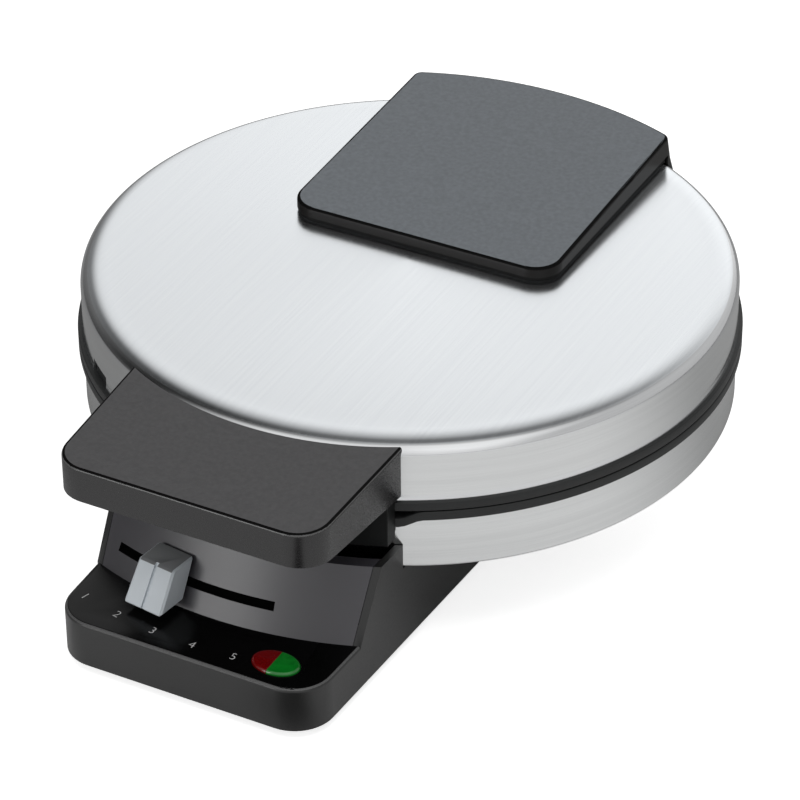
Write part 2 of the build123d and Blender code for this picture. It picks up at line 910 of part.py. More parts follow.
# Thermal fuse held against the plate's back by its saddle
with BuildPart() as thermal_fuse:
    with BuildSketch(side_plane(-fuse_length / 2)):
        with Locations((disc_y + fuse_spot, plate_back_z - fuse_radius - seam)):
            Circle(fuse_radius)
    extrude(amount=fuse_length)
    with BuildSketch(level(plate_back_z)):
        with Locations((0, fuse_spot)):
            Rectangle(saddle_size, saddle_size)
    extrude(amount=-2 * fuse_radius)
save(thermal_fuse, "thermal_fuse")

# Lamp board under the lens with its red and green lamps
with BuildPart() as indicator_board:
    with BuildSketch(Plane.XY.offset(board_top_z)):
        with Locations((board_x, board_y)):
            Rectangle(board_length, board_width)
        add(chassis_outline(wall + slip), mode=Mode.INTERSECT)
    extrude(amount=-board_thickness)
save(indicator_board, "indicator_board")


def lamp(side):
    """Domed lamp standing on the board under its half of the lens."""
    with BuildPart() as solid:
        with BuildSketch(Plane.XY.offset(board_top_z)):
            with Locations((lens_split_x + side * lamp_spread / 2, lens_y)):
                Circle(lamp_radius)
        extrude(amount=lamp_height)
        fillet(solid.faces().sort_by(Axis.Z)[-1].edges(), lamp_radius * 0.8)
    return solid


red_lamp = lamp(-1)
save(red_lamp, "red_lamp")
green_lamp = lamp(1)
save(green_lamp, "green_lamp")

# Indicator lens in two halves
with BuildPart() as lens_blank:
    with BuildSketch(Plane.XY.offset(ledge_z - wall)):
        with Locations((lens_x, lens_y)):
            Ellipse(lens_half_length, lens_half_width)
    extrude(amount=wall + lens_proud)
    fillet(lens_blank.faces().sort_by(Axis.Z)[-1].edges(), lens_proud * 0.9)
    with BuildSketch(Plane.XY.offset(ledge_z - wall)):
        with Locations((lens_x, lens_y)):
            Ellipse(lens_half_length + lens_flange, lens_half_width + lens_flange)
    extrude(amount=-lens_flange)
lens_split = Plane((lens_split_x, lens_y, ledge_z), z_dir=(1, 0, 0))
with BuildPart() as red_lens:
    add(lens_blank.part)
    split(bisect_by=lens_split, keep=Keep.BOTTOM)
save(red_lens, "red_lens")
with BuildPart() as green_lens:
    add(lens_blank.part)
    split(bisect_by=lens_split.offset(pin_fit), keep=Keep.TOP)
save(green_lens, "green_lens")

# Browning slider: shaft in the thermostat, lever under the deck, knob at the fascia
hub_foot_z = lever_z - hub_height / 2
with BuildPart() as thermostat_shaft:
    with BuildSketch(level(hub_foot_z)):
        Circle(shaft_head_radius)
    extrude(amount=-shaft_head_height)
    with BuildSketch(level(hub_foot_z)):
        Circle(shaft_radius)
    extrude(amount=pan_floor_z + thermostat_bore - slip - hub_foot_z)
save(thermostat_shaft, "thermostat_shaft")

lever_plane = Plane(
    (0, disc_y, lever_z),
    (math.cos(math.radians(knob_angle)), math.sin(math.radians(knob_angle)), 0),
)
with BuildPart() as control_lever:
    with BuildSketch(lever_plane.offset(-lever_thickness / 2)):
        with BuildLine():
            Polyline(
                (0, -lever_width / 2),
                (lever_neck - lever_width, -lever_width / 2),
                (lever_neck, -lever_tip_width / 2),
                (lever_reach, -lever_tip_width / 2),
                (lever_reach, lever_tip_width / 2),
                (lever_neck, lever_tip_width / 2),
                (lever_neck - lever_width, lever_width / 2),
                (0, lever_width / 2),
                close=True,
            )
        make_face()
    extrude(amount=lever_thickness)
    with BuildSketch(level(hub_foot_z)):
        Circle(hub_radius)
    extrude(amount=hub_height)
    with BuildSketch(level(hub_foot_z)):
        Circle(shaft_radius + pin_fit)
    extrude(amount=hub_height, mode=Mode.SUBTRACT)
save(control_lever, "control_lever")

knob_foot_z = ledge_z + knob_gap
knob_head_z = knob_foot_z + knob_height
knob_foot_rear = fascia_radius(knob_foot_z) + knob_clearance
knob_head_rear = fascia_radius(knob_head_z) + knob_clearance
with BuildPart() as slider_knob:
    with BuildSketch(lever_plane.offset(knob_foot_z - lever_z)):
        with Locations(((knob_front_foot + knob_foot_rear) / 2, 0)):
            Rectangle(knob_front_foot - knob_foot_rear, knob_foot_width)
    with BuildSketch(lever_plane.offset(knob_head_z - lever_z)):
        with Locations(((knob_front_head + knob_head_rear) / 2, 0)):
            Rectangle(knob_front_head - knob_head_rear, knob_head_width)
    loft(ruled=True)
    chamfer(slider_knob.edges(), knob_edge)
    groove = [
        (knob_front_foot - knob_groove_depth, knob_foot_z),
        (knob_front_foot + wall, knob_foot_z),
        (knob_front_head + wall, knob_head_z),
        (knob_front_head - knob_groove_depth, knob_head_z),
    ]
    extrude(
        outline(groove, radial(knob_angle)),
        amount=knob_groove_width / 2,
        both=True,
        mode=Mode.SUBTRACT,
    )
    # Slot that the lever's tip is pressed in
    with BuildSketch(lever_plane.offset(-lever_thickness / 2 - pin_fit)):
        Rectangle(
            2 * (lever_reach + pin_fit),
            lever_tip_width + 2 * pin_fit,
        )
    extrude(amount=lever_thickness + 2 * pin_fit, mode=Mode.SUBTRACT)
save(slider_knob, "slider_knob")

# Lid shell: brushed steel with a notch in its rim
side_screws = [(s * side_screw_spread / 2, side_screw_z) for s in (-1, 1)]
cover_screw_spots = [(s * cover_screw_spread / 2, cover_screw_y) for s in (-1, 1)]
with BuildPart() as lid_shell:
    add(lid_solid(0, lid_foot_z))
    add(lid_solid(sheet, lid_foot_z - wall), mode=Mode.SUBTRACT)
    add(
        turned(
            [
                (liner_radius - wall, lid_foot_z - wall),
                (shell_radius + wall, lid_foot_z - wall),
                (shell_radius + wall, lid_foot_z + notch_height),
                (liner_radius - wall, lid_foot_z + notch_height),
            ],
            notch_angle - notch_half_angle,
            2 * notch_half_angle,
        ),
        mode=Mode.SUBTRACT,
    )
    with BuildSketch(Plane.XZ.offset(-disc_y)):
        with Locations(*side_screws):
            Circle(screw_radius + slip)
    extrude(amount=far, both=True, mode=Mode.SUBTRACT)
    with BuildSketch(level(lid_foot_z)):
        with Locations(*cover_screw_spots):
            Circle(screw_radius + slip)
    extrude(amount=far, mode=Mode.SUBTRACT)
save(lid_shell, "lid_shell")

# Lid strap: steel bar from handle to hinge that carries the upper plate
strap_end = math.sqrt((liner_radius - slip / 2) ** 2 - (strap_width / 2) ** 2)
strap_foot_z = strap_z + strap_sheet - strap_tab
with BuildPart() as lid_strap:
    with BuildSketch(level(strap_z)):
        Rectangle(strap_width, 2 * strap_end)
        with Locations(*upper_post_spots):
            Circle(screw_radius + slip, mode=Mode.SUBTRACT)
    extrude(amount=strap_sheet)
    for side in (-1, 1):
        with BuildSketch(level(strap_foot_z)):
            with Locations((0, side * (strap_end - strap_sheet / 2))):
                Rectangle(strap_width, strap_sheet)
        extrude(amount=strap_tab)
    with BuildSketch(Plane.XZ.offset(-disc_y)):
        with Locations(*side_screws):
            Circle(screw_radius + slip)
    extrude(amount=far, both=True, mode=Mode.SUBTRACT)
save(lid_strap, "lid_strap")

strap_top_z = strap_z + strap_sheet
with BuildPart() as upper_plate_screws:
    with BuildSketch(level(strap_top_z)):
        with Locations(*upper_post_spots):
            Circle(screw_head_radius)
    extrude(amount=screw_head_height)
    with BuildSketch(level(strap_top_z)):
        with Locations(*upper_post_spots):
            Circle(screw_radius)
    extrude(amount=upper_reflector_z - screw_depth + plate_floor + slip - strap_top_z)
save(upper_plate_screws, "upper_plate_screws")

# Handle: hollow moulding that hugs the lid, with a plate closing its underside
handle_head = [
    (disc_y - handle_front, floor_z + handle_front_height),
    (disc_y - handle_rear_reach, floor_z + handle_rear_height),
]
handle_under = [
    (disc_y - handle_rear_reach, floor_z + handle_rear_under),
    (disc_y - handle_front, floor_z + handle_front_under),
]


def handle_plan(inset=0.0):
    """Handle seen from above, drawn in by inset."""
    with BuildSketch() as drawn:
        with BuildLine():
            Polyline(
                (-handle_front_half, disc_y - handle_front),
                (handle_front_half, disc_y - handle_front),
                (handle_rear_half, disc_y - handle_rear_reach),
                (-handle_rear_half, disc_y - handle_rear_reach),
                close=True,
            )
        make_face()
        fillet(drawn.vertices().group_by(Axis.Y)[0], handle_corner)
        if inset:
            offset(amount=-inset)
    return drawn.sketch


def handle_layer(points, plan_inset):
    """Slice of the handle between the lines of a side view, inside its plan."""
    with BuildPart() as solid:
        extrude(outline(points, side_plane()), amount=far, both=True)
        add(prism(handle_plan(plan_inset), far), mode=Mode.INTERSECT)
    return solid.part


def raised(points, rise):
    """Side view points moved up by rise."""
    return [(y, z + rise) for y, z in points]


# Handle: hollow moulding that hugs the lid
handle_ceiling = raised(handle_head, -handle_wall)
with BuildPart() as handle_block:
    add(handle_layer(handle_head + handle_under, 0))
    fillet(handle_block.faces().sort_by(Axis.Z)[-1].edges(), handle_edge)
with BuildPart() as handle_boss:
    add(handle_layer(handle_ceiling + raised(handle_under, underside_sheet + seam), handle_wall))
    with BuildSketch():
        with Locations((0, disc_y - handle_boss_reach)):
            Rectangle(handle_boss_width, far, align=(Align.CENTER, Align.MIN))
    extrude(amount=far, mode=Mode.INTERSECT)
with BuildPart() as handle_hollow:
    add(handle_layer(handle_ceiling + handle_under, handle_wall))
    add(lid_space(slip + handle_wall), mode=Mode.SUBTRACT)
    add(handle_boss.part, mode=Mode.SUBTRACT)
with BuildPart() as handle:
    add(handle_block.part)
    add(handle_hollow.part, mode=Mode.SUBTRACT)
    add(lid_space(slip), mode=Mode.SUBTRACT)
    with BuildSketch(Plane.XZ.offset(-disc_y)):
        with Locations(*side_screws):
            Circle(screw_radius + pin_fit)
    extrude(amount=handle_screw_reach + slip, mode=Mode.SUBTRACT)
save(handle, "handle")

# Underside of the handle in one with the skirt that hangs in front of the rings
skirt_inner = ring_radius + slip
skirt_foot_z = floor_z + skirt_foot_height
under_cut = [
    (disc_y - handle_rear_reach, 0),
    (disc_y - handle_front, 0),
] + handle_under[::-1]
with BuildPart() as skirt_wall_band:
    add(
        turned(
            [
                (skirt_inner, skirt_foot_z),
                (skirt_reach, skirt_foot_z),
                (skirt_reach, lid_z),
                (skirt_inner, lid_z),
            ],
            180,
            180,
        )
    )
    extrude(outline(under_cut, side_plane()), amount=skirt_half_width, both=True, mode=Mode.INTERSECT)
with BuildPart() as handle_skirt:
    add(handle_layer(raised(handle_under, underside_sheet) + handle_under[::-1], handle_wall + seam))
    add(lid_space(slip + handle_wall + seam), mode=Mode.SUBTRACT)
    add(skirt_wall_band.part)
save(handle_skirt, "handle_skirt")


def radial_screws(head_y, tip_y, side):
    """Pair of screws along Y through the strap's tab, heads on one side."""
    with BuildPart() as solid:
        with BuildSketch(Plane.XZ.offset(-disc_y - head_y)):
            with Locations(*side_screws):
                Circle(screw_head_radius)
        extrude(amount=side * screw_head_height)
        with BuildSketch(Plane.XZ.offset(-disc_y - head_y)):
            with Locations(*side_screws):
                Circle(screw_radius)
        extrude(amount=head_y - tip_y)
    return solid


handle_screws = radial_screws(strap_sheet - strap_end, -handle_screw_reach, -1)
save(handle_screws, "handle_screws")

# Hinge bracket: plate curved round the lid with two arms down to the pin
bracket_foot_z = parting_z + bracket_foot
bracket_outer = shell_radius + slip + bracket_sheet
bracket_web_y = disc_y + (shell_radius - sheet) * math.cos(math.radians(bracket_half_angle))
arm_web = [
    (hinge_y - knuckle_radius, parting_z),
    (hinge_y - knuckle_radius, bracket_foot_z),
    (bracket_web_y, bracket_foot_z),
    (bracket_web_y, bracket_foot_z + arm_rise),
    (hinge_y - knuckle_radius, bracket_foot_z + arm_rise),
    (hinge_y + knuckle_radius, parting_z),
]
with BuildPart() as hinge_bracket:
    add(knuckle(arm_web, arm_start, arm_width))
    add(knuckle(arm_web, -arm_start - arm_width, arm_width))
    add(lid_space(slip), mode=Mode.SUBTRACT)
    add(
        turned(
            [
                (shell_radius + slip, bracket_foot_z),
                (bracket_outer, bracket_foot_z),
                (bracket_outer, bracket_foot_z + bracket_height),
                (shell_radius + slip, bracket_foot_z + bracket_height),
            ],
            90 - bracket_half_angle,
            2 * bracket_half_angle,
        )
    )
    with BuildSketch(Plane.XZ.offset(-disc_y)):
        with Locations(*side_screws):
            Circle(screw_radius + slip)
    extrude(amount=-far, mode=Mode.SUBTRACT)
save(hinge_bracket, "hinge_bracket")

hinge_screws = radial_screws(bracket_outer, strap_end - strap_sheet - slip, -1)
save(hinge_screws, "hinge_screws")

# Hinge pin with a head at each end
with BuildPart() as hinge_pin:
    with BuildSketch(side_plane()):
        with Locations((hinge_y, parting_z)):
            Circle(pin_radius)
    extrude(amount=hinge_half_length, both=True)
    for start in (hinge_half_length, -hinge_half_length - pin_head_width):
        with BuildSketch(side_plane(start)):
            with Locations((hinge_y, parting_z)):
                Circle(pin_head_radius)
        extrude(amount=pin_head_width)
save(hinge_pin, "hinge_pin")


def cover_plan(height, corner_y, middle_y, inset):
    """Hinge cover seen from above at one height, drawn in by inset."""
    with BuildSketch(Plane.XY.offset(floor_z + height)) as drawn:
        with BuildLine():
            Line((-cover_front_half, disc_y + cover_front_y), (cover_front_half, disc_y + cover_front_y))
            Line((cover_front_half, disc_y + cover_front_y), (cover_rear_half, disc_y + corner_y))
            ThreePointArc(
                (cover_rear_half, disc_y + corner_y),
                (0, disc_y + middle_y),
                (-cover_rear_half, disc_y + corner_y),
            )
            Line((-cover_rear_half, disc_y + corner_y), (-cover_front_half, disc_y + cover_front_y))
        make_face()
        fillet(drawn.vertices().group_by(Axis.Y)[0], cover_front_corner)
        fillet(drawn.vertices().filter_by(lambda v: v.Y > disc_y + cover_pad_y - 1), cover_rear_corner)
        if inset:
            offset(amount=-inset)
    return drawn.sketch


cover_slope = (cover_rear_height - cover_front_height) / (cover_height_y - cover_front_y)


def cover_top_z(y):
    """Height of the cover's sloping top at y from the plate axis."""
    return floor_z + cover_front_height + cover_slope * (y - cover_front_y)


def cover_block(inset):
    """Filled shape of the hinge cover under its sloping top, drawn in by inset."""
    plans = [cover_plan(*line, inset) for line in cover_rear_lines]
    side_view = [
        (disc_y, parting_z),
        (disc_y + rear_reach + wall, parting_z),
        (disc_y + rear_reach + wall, cover_top_z(rear_reach + wall) - inset),
        (disc_y, cover_top_z(0) - inset),
    ]
    with BuildPart() as solid:
        for lower, upper in zip(plans, plans[1:]):
            loft([lower, upper], ruled=True)
        extrude(outline(side_view, side_plane()), amount=far, both=True, mode=Mode.INTERSECT)
    return solid


pad_top_z = lid_z + pad_height
cover_foot_z = parting_z + cover_foot
above_pad = [
    (disc_y, parting_z),
    (disc_y + cover_pad_y, parting_z),
    (disc_y + cover_pad_y, pad_top_z),
    (disc_y, pad_top_z),
]
cover_space = lid_space(slip)

# Hinge cover: moulding screwed on the lid that shrouds the hinge
cover_outside = cover_block(0)
cover_inside = cover_block(wall)
with BuildPart() as hinge_cover:
    add(cover_outside.part)
    fillet(hinge_cover.faces().sort_by(Axis.Z)[-1].edges(), cover_edge)
    add(cover_inside.part, mode=Mode.SUBTRACT)
    # Bosses for the cover's screws
    with BuildSketch(level(pad_top_z)):
        with Locations(*cover_screw_spots):
            Circle(boss_radius)
    extrude(amount=cover_top_z(cover_screw_y) - wall / 2 - pad_top_z)
    with BuildSketch(level(pad_top_z)):
        with Locations(*cover_screw_spots):
            Circle(screw_radius + pin_fit)
    extrude(amount=cover_screw_reach + slip, mode=Mode.SUBTRACT)
    add(cover_space, mode=Mode.SUBTRACT)
    extrude(outline(above_pad, side_plane()), amount=far, both=True, mode=Mode.SUBTRACT)
    with BuildSketch(side_plane()):
        with Locations((hinge_y, parting_z)):
            Circle(cover_swing)
    extrude(amount=hinge_half_length + 2 * pin_head_width, both=True, mode=Mode.SUBTRACT)
    with BuildSketch(Plane.XY.offset(cover_foot_z)):
        Rectangle(far, far)
    extrude(amount=-far, mode=Mode.SUBTRACT)
save(hinge_cover, "hinge_cover")

# Pad between the cover and the steel
with BuildPart() as hinge_cover_pad:
    extrude(cover_plan(*cover_rear_lines[-1], pad_inset), amount=-far)
    with BuildSketch(level(lid_z - lid_round)):
        Rectangle(far, 2 * cover_pad_y)
    extrude(amount=lid_round + pad_height, mode=Mode.INTERSECT)
    add(lid_solid(0, parting_z), mode=Mode.SUBTRACT)
    with BuildSketch(level(lid_foot_z)):
        with Locations(*cover_screw_spots):
            Circle(screw_radius + slip)
    extrude(amount=far, mode=Mode.SUBTRACT)
save(hinge_cover_pad, "hinge_cover_pad")

# Screws up through the lid into the cover's bosses
cover_head_z = lid_z - lid_crown - sheet
with BuildPart() as hinge_cover_screws:
    with BuildSketch(level(cover_head_z)):
        with Locations(*cover_screw_spots):
            Circle(screw_head_radius)
    extrude(amount=-screw_head_height)
    with BuildSketch(level(cover_head_z)):
        with Locations(*cover_screw_spots):
            Circle(screw_radius)
    extrude(amount=pad_top_z + cover_screw_reach - cover_head_z)
save(hinge_cover_screws, "hinge_cover_screws")
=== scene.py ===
"""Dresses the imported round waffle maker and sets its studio, light and camera.

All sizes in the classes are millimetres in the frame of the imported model, with the plates' axis at
(0, AXIS_Y) and +Z up. Meshes are made in metres by the builders below.
"""

import json
import logging
import math
from dataclasses import dataclass, field
from enum import Enum
from typing import Callable, Iterable, Optional, Sequence

import bmesh
import bpy
from mathutils import Matrix, Vector

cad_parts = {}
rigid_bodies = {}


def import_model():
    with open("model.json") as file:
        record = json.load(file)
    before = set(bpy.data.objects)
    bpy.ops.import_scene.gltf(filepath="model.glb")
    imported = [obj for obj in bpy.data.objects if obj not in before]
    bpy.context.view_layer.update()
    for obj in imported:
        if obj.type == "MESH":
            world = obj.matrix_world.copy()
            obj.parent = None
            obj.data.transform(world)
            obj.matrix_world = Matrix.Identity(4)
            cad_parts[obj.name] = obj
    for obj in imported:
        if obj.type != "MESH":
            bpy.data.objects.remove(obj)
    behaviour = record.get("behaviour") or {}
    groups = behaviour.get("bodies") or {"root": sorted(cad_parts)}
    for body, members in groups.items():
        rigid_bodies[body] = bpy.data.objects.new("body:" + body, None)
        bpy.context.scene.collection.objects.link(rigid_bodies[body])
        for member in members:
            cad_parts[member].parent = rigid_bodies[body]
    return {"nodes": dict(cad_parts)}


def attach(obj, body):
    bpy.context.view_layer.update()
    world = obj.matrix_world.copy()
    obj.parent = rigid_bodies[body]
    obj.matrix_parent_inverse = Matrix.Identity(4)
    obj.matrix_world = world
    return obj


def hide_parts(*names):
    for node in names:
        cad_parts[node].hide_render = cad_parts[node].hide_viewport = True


for leftover in list(bpy.data.objects):
    bpy.data.objects.remove(leftover)
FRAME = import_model()

LOG = logging.getLogger("waffle_maker")
MM = 0.001
AXIS_Y = 13.7
PARTING_Z = 49.35
PLATE_RADIUS_M = 0.097
MERGE_M = 2e-6
FLAT_DEGREES = 0.4

Point = tuple[float, float]


class Lay(Enum):
    """Direction in which a steel surface is brushed."""

    ALONG = "along the length"
    AROUND = "around the plates' axis"


class Body(Enum):
    """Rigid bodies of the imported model."""

    BASE = "base"
    LID = "lid"
    SLIDER = "slider"


# Finishes


class Shade:
    """Short hand for wiring one material's nodes on Object coordinates."""

    def __init__(self, name: str) -> None:
        """Starts a material with a Principled shader.

        Args:
            name: name of the material.
        """
        self.material = bpy.data.materials.new(name)
        self.material.use_nodes = True
        self.tree = self.material.node_tree
        self.shader = self.tree.nodes["Principled BSDF"]

    def set(self, **values: object) -> None:
        """Sets sockets of the shader.

        Args:
            values: value of each socket, by its name with underscores for spaces.
        """
        for name, value in values.items():
            self.shader.inputs[name.replace("_", " ")].default_value = value

    def add(self, kind: str, **settings: object) -> bpy.types.Node:
        """Adds a node and sets its own properties.

        Args:
            kind: the node's type name.
            settings: properties of the node.

        Returns:
            The new node.
        """
        node = self.tree.nodes.new(kind)
        for name, value in settings.items():
            setattr(node, name, value)
        return node

    def link(self, source: bpy.types.NodeSocket, target: bpy.types.NodeSocket) -> None:
        """Wires one socket to another."""
        self.tree.links.new(source, target)

    def place(self, scale: Sequence[float]) -> bpy.types.NodeSocket:
        """Object coordinates centred on the plates' axis and scaled.

        Args:
            scale: scale along X, Y and Z, in cycles per metre.

        Returns:
            The mapped vector.
        """
        coordinates = self.add("ShaderNodeTexCoord")
        centred = self.add("ShaderNodeMapping")
        centred.inputs["Location"].default_value = (0, -AXIS_Y * MM, 0)
        scaled = self.add("ShaderNodeMapping")
        scaled.inputs["Scale"].default_value = tuple(scale)
        self.link(coordinates.outputs["Object"], centred.inputs["Vector"])
        self.link(centred.outputs["Vector"], scaled.inputs["Vector"])
        return scaled.outputs["Vector"]

    def around(self, scale: Sequence[float]) -> bpy.types.NodeSocket:
        """Coordinates that run round the plates' axis and up it.

        Args:
            scale: scale along the arc and up the axis, in cycles per metre.

        Returns:
            The mapped vector.
        """
        parts = self.add("ShaderNodeSeparateXYZ")
        self.link(self.place((1, 1, 1)), parts.inputs["Vector"])
        turn = self.add("ShaderNodeMath", operation="ARCTAN2")
        self.link(parts.outputs["Y"], turn.inputs[0])
        self.link(parts.outputs["X"], turn.inputs[1])
        arc = self.add("ShaderNodeMath", operation="MULTIPLY")
        arc.inputs[1].default_value = PLATE_RADIUS_M * scale[0]
        self.link(turn.outputs["Value"], arc.inputs[0])
        height = self.add("ShaderNodeMath", operation="MULTIPLY")
        height.inputs[1].default_value = scale[1]
        self.link(parts.outputs["Z"], height.inputs[0])
        joined = self.add("ShaderNodeCombineXYZ")
        self.link(arc.outputs["Value"], joined.inputs["X"])
        self.link(height.outputs["Value"], joined.inputs["Y"])
        return joined.outputs["Vector"]

    def noise(self, vector: bpy.types.NodeSocket, detail: float = 3.0,
              roughness: float = 0.5) -> bpy.types.NodeSocket:
        """Noise on a mapped vector.

        Args:
            vector: coordinates in cycles.
            detail: octaves of the noise.
            roughness: weight of the finer octaves.

        Returns:
            The noise's factor, from 0 to 1.
        """
        node = self.add("ShaderNodeTexNoise")
        node.inputs["Scale"].default_value = 1.0
        node.inputs["Detail"].default_value = detail
        node.inputs["Roughness"].default_value = roughness
        self.link(vector, node.inputs["Vector"])
        return node.outputs["Fac"]

    def blend(self, factor: bpy.types.NodeSocket, low: Sequence[float], high: Sequence[float],
              start: float = 0.3, end: float = 0.7) -> bpy.types.NodeSocket:
        """Colour that goes from low to high as the factor goes from start to end.

        Args:
            factor: number from 0 to 1.
            low: colour up to start.
            high: colour from end on.
            start: factor at which the change starts.
            end: factor at which it ends.

        Returns:
            The colour.
        """
        ramp = self.add("ShaderNodeValToRGB")
        ramp.color_ramp.elements[0].position = start
        ramp.color_ramp.elements[1].position = end
        ramp.color_ramp.elements[0].color = (*low, 1)
        ramp.color_ramp.elements[1].color = (*high, 1)
        self.link(factor, ramp.inputs["Fac"])
        return ramp.outputs["Color"]

    def spread(self, factor: bpy.types.NodeSocket, low: float, high: float) -> bpy.types.NodeSocket:
        """Number that goes from low to high as the factor goes from 0.3 to 0.7.

        Args:
            factor: number from 0 to 1.
            low: number at 0.3 and below.
            high: number at 0.7 and above.

        Returns:
            The number.
        """
        node = self.add("ShaderNodeMapRange")
        node.inputs["From Min"].default_value = 0.3
        node.inputs["From Max"].default_value = 0.7
        node.inputs["To Min"].default_value = low
        node.inputs["To Max"].default_value = high
        self.link(factor, node.inputs["Value"])
        return node.outputs["Result"]

    def bump(self, factor: bpy.types.NodeSocket, depth: float, strength: float = 1.0) -> None:
        """Adds relief to the surface.

        Args:
            factor: height from 0 to 1.
            depth: depth of the relief in metres.
            strength: share of the relief that shows.
        """
        node = self.add("ShaderNodeBump")
        node.inputs["Distance"].default_value = depth
        node.inputs["Strength"].default_value = strength
        self.link(factor, node.inputs["Height"])
        self.link(node.outputs["Normal"], self.shader.inputs["Normal"])


def shades(colour: Sequence[float], share: float) -> tuple[Sequence[float], Sequence[float]]:
    """A colour darkened and lightened by a share of itself."""
    return [c * (1 - share) for c in colour], [min(1.0, c * (1 + share)) for c in colour]


@dataclass(frozen=True)
class BrushedSteel:
    """Stainless sheet with straight or circular brushing."""

    name: str
    lay: Lay
    colour: tuple[float, float, float] = (0.80, 0.81, 0.82)
    roughness: tuple[float, float] = (0.26, 0.38)
    streak: float = 0.05
    anisotropy: float = 0.5
    relief: float = 0.000006

    def make(self) -> bpy.types.Material:
        """Builds the material: fine streaks over broad soft ones.

        Returns:
            The material.
        """
        shade = Shade(self.name)
        if self.lay is Lay.ALONG:
            fine = shade.noise(shade.place((2600, 34, 300)), 4, 0.6)
            broad = shade.noise(shade.place((900, 16, 60)), 3)
        else:
            fine = shade.noise(shade.around((26, 2800)), 4, 0.6)
            broad = shade.noise(shade.around((6, 520)), 2)
        mixed = shade.add("ShaderNodeMix", data_type="FLOAT")
        mixed.inputs["Factor"].default_value = 0.45
        shade.link(fine, mixed.inputs[2])
        shade.link(broad, mixed.inputs[3])
        streaks = mixed.outputs[0]
        dark, light = shades(self.colour, self.streak)
        shade.link(shade.blend(streaks, dark, light, 0.36, 0.64), shade.shader.inputs["Base Color"])
        shade.link(shade.spread(streaks, *self.roughness), shade.shader.inputs["Roughness"])
        shade.set(Metallic=1.0, Anisotropic=self.anisotropy)
        if self.lay is Lay.AROUND:
            tangent = shade.add("ShaderNodeTangent", direction_type="RADIAL", axis="Z")
            shade.link(tangent.outputs["Tangent"], shade.shader.inputs["Tangent"])
        shade.bump(fine, self.relief)
        return shade.material


@dataclass(frozen=True)
class MouldedPlastic:
    """Moulded plastic with a fine spark-eroded grain."""

    name: str
    colour: tuple[float, float, float]
    roughness: tuple[float, float] = (0.42, 0.52)
    grain: float = 2200.0
    relief: float = 0.00001
    specular: float = 0.5
    mottle: float = 45.0
    fleck: float = 0.07

    def make(self) -> bpy.types.Material:
        """Builds the material: grain in relief and gloss, soft mottling in colour.

        Returns:
            The material.
        """
        shade = Shade(self.name)
        fine = shade.noise(shade.place((self.grain,) * 3), 2, 0.6)
        broad = shade.noise(shade.place((self.mottle,) * 3), 3)
        dark, light = shades(self.colour, self.fleck)
        shade.link(shade.blend(broad, dark, light), shade.shader.inputs["Base Color"])
        shade.link(shade.spread(fine, *self.roughness), shade.shader.inputs["Roughness"])
        shade.set(Specular_IOR_Level=self.specular)
        shade.bump(fine, self.relief)
        return shade.material


@dataclass(frozen=True)
class PlainMetal:
    """Plated, cast or drawn metal with faint tool marks."""

    name: str
    colour: tuple[float, float, float]
    roughness: tuple[float, float] = (0.3, 0.42)
    metallic: float = 1.0
    grain: float = 900.0
    relief: float = 0.000008

    def make(self) -> bpy.types.Material:
        """Builds the material: mottled colour and gloss over a fine relief.

        Returns:
            The material.
        """
        shade = Shade(self.name)
        fine = shade.noise(shade.place((self.grain,) * 3), 3, 0.6)
        broad = shade.noise(shade.place((70, 70, 70)), 2)
        dark, light = shades(self.colour, 0.1)
        shade.link(shade.blend(broad, dark, light), shade.shader.inputs["Base Color"])
        shade.link(shade.spread(fine, *self.roughness), shade.shader.inputs["Roughness"])
        shade.set(Metallic=self.metallic)
        shade.bump(fine, self.relief)
        return shade.material


@dataclass(frozen=True)
class LensPlastic:
    """Tinted lens moulded with fine flutes below its gloss."""

    name: str
    colour: tuple[float, float, float]
    glow: tuple[float, float, float]

    def make(self) -> bpy.types.Material:
        """Builds the material: clear coat over a fluted tint.

        Returns:
            The material.
        """
        shade = Shade(self.name)
        flutes = shade.noise(shade.place((520, 520, 520)), 1)
        dark, light = shades(self.colour, 0.2)
        shade.link(shade.blend(flutes, dark, light), shade.shader.inputs["Base Color"])
        shade.link(shade.spread(flutes, 0.1, 0.2), shade.shader.inputs["Roughness"])
        shade.set(Coat_Weight=0.6, Coat_Roughness=0.05)
        shade.set(Emission_Color=(*self.glow, 1), Emission_Strength=0.12)
        shade.bump(flutes, 0.00002, 0.3)
        return shade.material


@dataclass(frozen=True)
class Ink:
    """Printed ink of the dial numerals."""

    name: str
    colour: tuple[float, float, float]

    def make(self) -> bpy.types.Material:
        """Builds the material: thin, slightly uneven ink.

        Returns:
            The material.
        """
        shade = Shade(self.name)
        cover = shade.noise(shade.place((1800, 1800, 1800)), 2)
        dark, light = shades(self.colour, 0.12)
        shade.link(shade.blend(cover, dark, light), shade.shader.inputs["Base Color"])
        shade.link(shade.spread(cover, 0.5, 0.6), shade.shader.inputs["Roughness"])
        return shade.material


